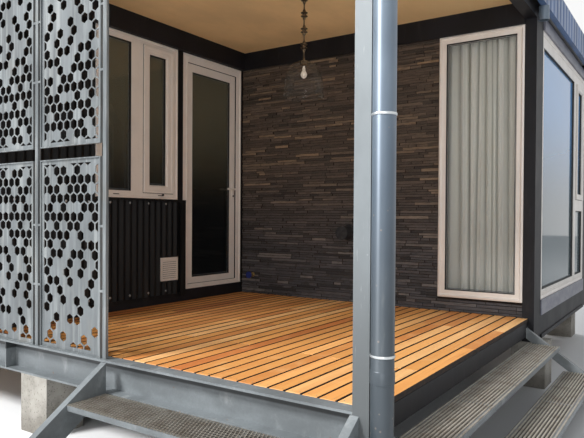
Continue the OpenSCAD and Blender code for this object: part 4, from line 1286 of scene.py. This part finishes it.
class CABIN_OT_lamp(bpy.types.Operator):
    """Turn the pendant lamp's stem, drop and clear shade"""

    bl_idname = "cabin.lamp"
    bl_label = "Pendant lamp"

    # Radius and height: the rose at the ceiling, the upper half of one bead, the socket, the
    # cut drop, and the shade as shares of its radius and height
    rose = [(44, 0), (45, -4), (43, -14), (30, -22), (15, -34), (12, -48), (6, -58)]
    bead = [(4.8, 46), (5.5, 36), (9.5, 27), (10.5, 19), (8, 16.5), (21.5, 13.5), (22.8, 11.5),
            (21.5, 9), (9.5, 7), (12.5, 3)]
    socket = [(6, -555), (8, -565), (26.5, -570), (27, -575), (26.5, -592), (12, -597), (9, -602)]
    drop = mm((8, -600), (7.5, -612), (12, -622), (10, -628), (17, -642), (22.5, -655),
              (22.8, -662), (18, -673), (8, -681), (3, -683.5))
    bell = [(0.22, 0.0), (0.30, -0.015), (0.52, -0.07), (0.68, -0.15), (0.80, -0.27),
            (0.88, -0.42), (0.93, -0.58), (0.955, -0.74), (0.96, -0.88), (0.985, -0.985),
            (1.0, -0.998), (0.985, -1.0)]

    def execute(self, context):
        low, high = span("pendant_lamp")
        centre = at((low.x + high.x) / 2, (low.y + high.y) / 2, high.z)
        form = Form()
        bead = self.bead + [(r, -h) for r, h in reversed(self.bead)]
        beads = [(r, h - 167 - 102.5 * i) for i in range(4) for r, h in bead]
        form.turned(centre, UP, mm(*self.rose, *beads, *self.socket))
        form.turned(centre, UP, self.drop, 10, 1)
        form.piece("lamp_stem", ["lamp bronze", "lamp crystal"], "lamp_metal", smooth=38,
                   replaces=["pendant_lamp"])

        base, top = span("lamp_shade")
        radius, height = (top.x - base.x) / 2, top.z - base.z
        outline = [(r * radius, h * height) for r, h in self.bell]
        rows = []
        for thick, points in ((0.0, outline), (0.0025, outline[::-1])):
            def fluted(r, h, t, thick=thick):
                wave = 0.02 * min(1.0, -h / height * 3)
                return r * (1 - wave * (1 - math.cos(8 * t)) / 2) - thick
            rows += spun(at((base.x + top.x) / 2, (base.y + top.y) / 2, top.z), points, 48,
                         reach=fluted)
        shade = Form()
        shade.skin(rows, closed=True, loop=True)
        shade.piece("shade_bell", ["shade glass"], "glass", smooth=50, replaces=["lamp_shade"])
        return {"FINISHED"}


class CABIN_OT_fittings(bpy.types.Operator):
    """Finish the vent, flue terminal, tap and downpipes"""

    bl_idname = "cabin.fittings"
    bl_label = "Fittings"

    pipe_r, pipe_wall, strap = 0.044, 0.0025, 0.003
    tap_body = mm((22, 0), (22, 3), (16, 6), (10, 8), (10, 26), (13, 28), (13, 46), (9, 50),
                  (6, 54), (6, 64))
    # The spout's rings: distance out, drop and radius
    spout = mm((34, 0, 8), (38, 10, 8), (40, 20, 8), (40, 30, 8.5), (40, 33, 8.5))
    hub = mm((24, 64.5), (24, 68), (8, 70.5))

    def execute(self, context):
        dress("vent_grille", "white profile", 0.001)
        self.louvres()
        self.flue_end()
        dress("flue_terminal", "flue black", 0.0015)
        self.downpipe()
        dress("downpipe_stub", "pipe paint")
        self.tap()
        return {"FINISHED"}

    def tap(self):
        """Brass tap with its spout and a lobed wheel."""
        low, high = span("wall_tap")
        wall = at((low.x + high.x) / 2, high.y, (low.z + high.z) / 2)
        form = Form()
        form.turned(wall, -Y, self.tap_body, 20)
        form.tube([[wall - Y * (y + r * c) + X * (r * s) - UP * drop for c, s in circle(14)]
                   for y, drop, r in self.spout])
        rim = [(0.028 + 0.0055 * c, 0.067 + 0.0045 * s) for c, s in circle(8)]
        wheel = spun(wall, rim, 36, (X, UP, -Y),
                     lambda r, h, t: r * (1 + 0.04 * math.cos(6 * t)))
        form.skin(wheel, 1, closed=True, loop=True)
        form.turned(wall, -Y, self.hub, 24, 1)
        form.piece("tap_body", ["tap brass", "tap blue"], "tap_metal", smooth=40,
                   replaces=["wall_tap"])

    def downpipe(self):
        """Round pipe down the porch post, with its socket, lip and bright straps."""
        low, high = span("downpipe")
        radius, inside = self.pipe_r, self.pipe_r - self.pipe_wall
        centre = at(high.x - self.strap - radius, (low.y + high.y) / 2, 0.0)
        socket = 0.169
        outline = [(radius, low.z), (radius, socket - 0.050), (radius + 0.002, socket - 0.049),
                   (radius + 0.002, socket - 0.002), (radius + 0.0008, socket),
                   (radius, socket + 0.001), (radius, high.z), (inside, high.z), (inside, low.z)]
        form = Form()
        form.skin(spun(centre, outline, 64), closed=True, loop=True)
        for z in (1.103, 0.222):
            band = [(radius + r, z + h) for r, h in mm(
                (0.2, -5), (2.2, -4.5), (3, -2), (3, 2), (2.2, 4.5), (0.2, 5))]
            form.skin(spun(centre, band, 64), 1, closed=True, loop=True)
        form.piece("downpipe_tube", ["pipe paint", "strap zinc"], "pipe_grey", smooth=40,
                   replaces=["downpipe"])

    def louvres(self):
        """Sloping blades of the vent, each with a black strip below it that paints the shade in
        its slot.
        """
        low, high = span("vent_grille")
        place = Side(at(high.x, low.y, low.z), Y, X).at
        edge, count = 0.022, 9
        near, far, step = edge, high.y - low.y - edge, (high.z - low.z - 2 * edge) / count
        form = Form()
        for i in range(count):
            z = edge + i * step
            form.tube([[place(u, z + dz, d) for dz, d in (
                (step * 0.18, -0.001), (step * 0.18, 0.0045), (step * 0.95, -0.001))]
                for u in (near, far)])
            # Black strip in the slot: painted shade
            form.block(place, (near, z - step * 0.02, -0.001), (far, z + step * 0.17, 0.0006), 1)
        form.piece("vent_louvres", ["white profile", "gasket rubber"], "white_pvc")

    def flue_end(self):
        """Dark baffle that closes the flue's mouth."""
        low, high = span("flue_terminal")
        centre = at((low.x + high.x) / 2, low.y, (low.z + high.z) / 2)
        radius = (high.z - low.z) / 2
        form = Form()
        form.turned(centre, Y, [(radius * 0.80, 0.004), (radius * 0.80, 0.007),
                                (radius * 0.2, 0.010)], 32)
        form.piece("flue_baffle", ["flue black"], "flue_black", smooth=40)


class CABIN_OT_steelwork(bpy.types.Operator):
    """Finish the frames, beams, posts, screens and piers"""

    bl_idname = "cabin.steelwork"
    bl_label = "Steelwork"

    def execute(self, context):
        for node, look, bevel in (
                ("front_beam", "beam steel", 0.003), ("porch_post", "post steel", 0.004),
                ("base_rails", "dark steel", 0.003), ("deck_frame", "dark steel", 0.002),
                ("end_posts", "dark steel", 0.004), ("roof_beams", "dark steel", 0.003),
                ("end_trim", "trim sheet", 0.003), ("lower_screens", "screen steel", 0.0),
                ("upper_screens", "screen steel", 0.0), ("screen_uprights", "screen steel", 0.002),
                ("piers", "pier concrete", 0.008), ("floor", "floor wood", 0.0),
                ("porch_ceiling", "ceiling board", 0.0), ("room_ceiling", "white board", 0.0)):
            dress(node, look, bevel)
        return {"FINISHED"}


class CABIN_OT_stage(bpy.types.Operator):
    """Set the floor, the light and the camera"""

    bl_idname = "cabin.stage"
    bl_label = "Stage"

    # The camera that the porch's straight edges give: degrees, pixels and place
    turns = (33.86, -0.70, 0.36)
    focal, rise, photo_width = 602.5, 6.3, 584
    eye = (1.012, -1.997, 0.724)
    sensor = 36.0

    def execute(self, context):
        scene = context.scene
        scene.view_settings.view_transform = "Standard"
        self.floor()
        self.world(scene)
        for name, place, aim, size, power in (
                ("key light", (-5.6, -8.2, 8.8), (-1.2, 1.0, 0.6), 3.0, 2250.0),
                ("fill light", (3.6, -9.5, 2.4), (-2.0, 1.6, 0.9), 4.0, 260.0),
                ("back light", (-11.0, 13.0, 7.0), (-3.0, 4.0, 0.6), 4.0, 900.0)):
            lamp = bpy.data.lights.new(name, "AREA")
            lamp.shape = "SQUARE"
            lamp.size = size
            lamp.energy = power
            thing = bpy.data.objects.new(name, lamp)
            scene.collection.objects.link(thing)
            thing.location = at(*place)
            thing.rotation_euler = (at(*aim) - at(*place)).to_track_quat("-Z", "Y").to_euler()
        self.camera(scene)
        return {"FINISHED"}

    def floor(self):
        look = Look("studio floor", (234, 234, 234), 0.9)
        look.layer(look.cloud(0.3, 2), (240, 240, 240))
        mesh = bpy.data.meshes.new("studio_floor")
        half = 45.0
        mesh.from_pydata([(-half, -half, 0), (half, -half, 0), (half, half, 0), (-half, half, 0)],
                         [], [(0, 1, 2, 3)])
        mesh.materials.append(look.material)
        floor = bpy.data.objects.new("studio_floor", mesh)
        bpy.context.scene.collection.objects.link(floor)

    def world(self, scene):
        """Even light from all round, white where the camera sees it, also in glass and metal."""
        scene.world = bpy.data.worlds.new("studio")
        nodes = Nodes(scene.world)
        seen = sum(nodes.node("ShaderNodeLightPath", out=ray) for ray in
                   ("Is Camera Ray", "Is Glossy Ray", "Is Transmission Ray"))
        lit, white = (
            nodes.node("ShaderNodeBackground", {}, {"Color": colour, "Strength": strength})
            for colour, strength in (((0.92, 0.96, 1.0), 0.46), ((1.0, 1.0, 1.0), 0.95)))
        nodes.node("ShaderNodeOutputWorld", {}, {"Surface": nodes.node(
            "ShaderNodeMixShader", {}, {0: seen, 1: lit, 2: white})})

    def camera(self, scene):
        yaw, pitch, roll = map(math.radians, self.turns)
        ahead = Vector((-math.sin(yaw) * math.cos(pitch), math.cos(yaw) * math.cos(pitch),
                        math.sin(pitch)))
        level = Vector((math.cos(yaw), math.sin(yaw), 0.0))
        right = level * math.cos(roll) + level.cross(ahead) * math.sin(roll)
        lens = bpy.data.cameras.new("view")
        lens.sensor_width = self.sensor
        lens.lens = self.focal * self.sensor / self.photo_width
        lens.shift_y = self.rise / self.photo_width
        lens.clip_end = 200.0
        eye = bpy.data.objects.new("view", lens)
        scene.collection.objects.link(eye)
        turned = Matrix((right, right.cross(ahead), -ahead)).transposed()
        eye.matrix_world = Matrix.Translation(at(*self.eye)) @ turned.to_4x4()
        scene.camera = eye


class CABIN_PT_panel(bpy.types.Panel):
    """Lists the cabin's pieces in the sidebar"""

    bl_label = "Container cabin"
    bl_idname = "CABIN_PT_panel"
    bl_space_type = "VIEW_3D"
    bl_region_type = "UI"
    bl_category = "Cabin"

    def draw(self, context):
        for group in (context.scene.cabin_sizes, context.scene.cabin_colours):
            for key in group.__annotations__:
                self.layout.prop(group, key)
        for operator in OPERATORS:
            self.layout.operator(operator.bl_idname)


OPERATORS = (CABIN_OT_stage, CABIN_OT_steelwork, CABIN_OT_deck, CABIN_OT_cladding,
             CABIN_OT_porch_side, CABIN_OT_slips, CABIN_OT_windows, CABIN_OT_door,
             CABIN_OT_treads, CABIN_OT_roof, CABIN_OT_curtain, CABIN_OT_lamp,
             CABIN_OT_fittings)
CLASSES = (CabinSizes, CabinColours) + OPERATORS + (CABIN_PT_panel,)


def register():
    for one in CLASSES:
        bpy.utils.register_class(one)
    bpy.types.Scene.cabin_sizes = PointerProperty(type=CabinSizes)
    bpy.types.Scene.cabin_colours = PointerProperty(type=CabinColours)


def unregister():
    del bpy.types.Scene.cabin_sizes
    del bpy.types.Scene.cabin_colours
    for one in reversed(CLASSES):
        bpy.utils.unregister_class(one)


def main():
    register()
    for operator in OPERATORS:
        group, name = operator.bl_idname.split(".")
        getattr(getattr(bpy.ops, group), name)()


if __name__ == "__main__":
    main()
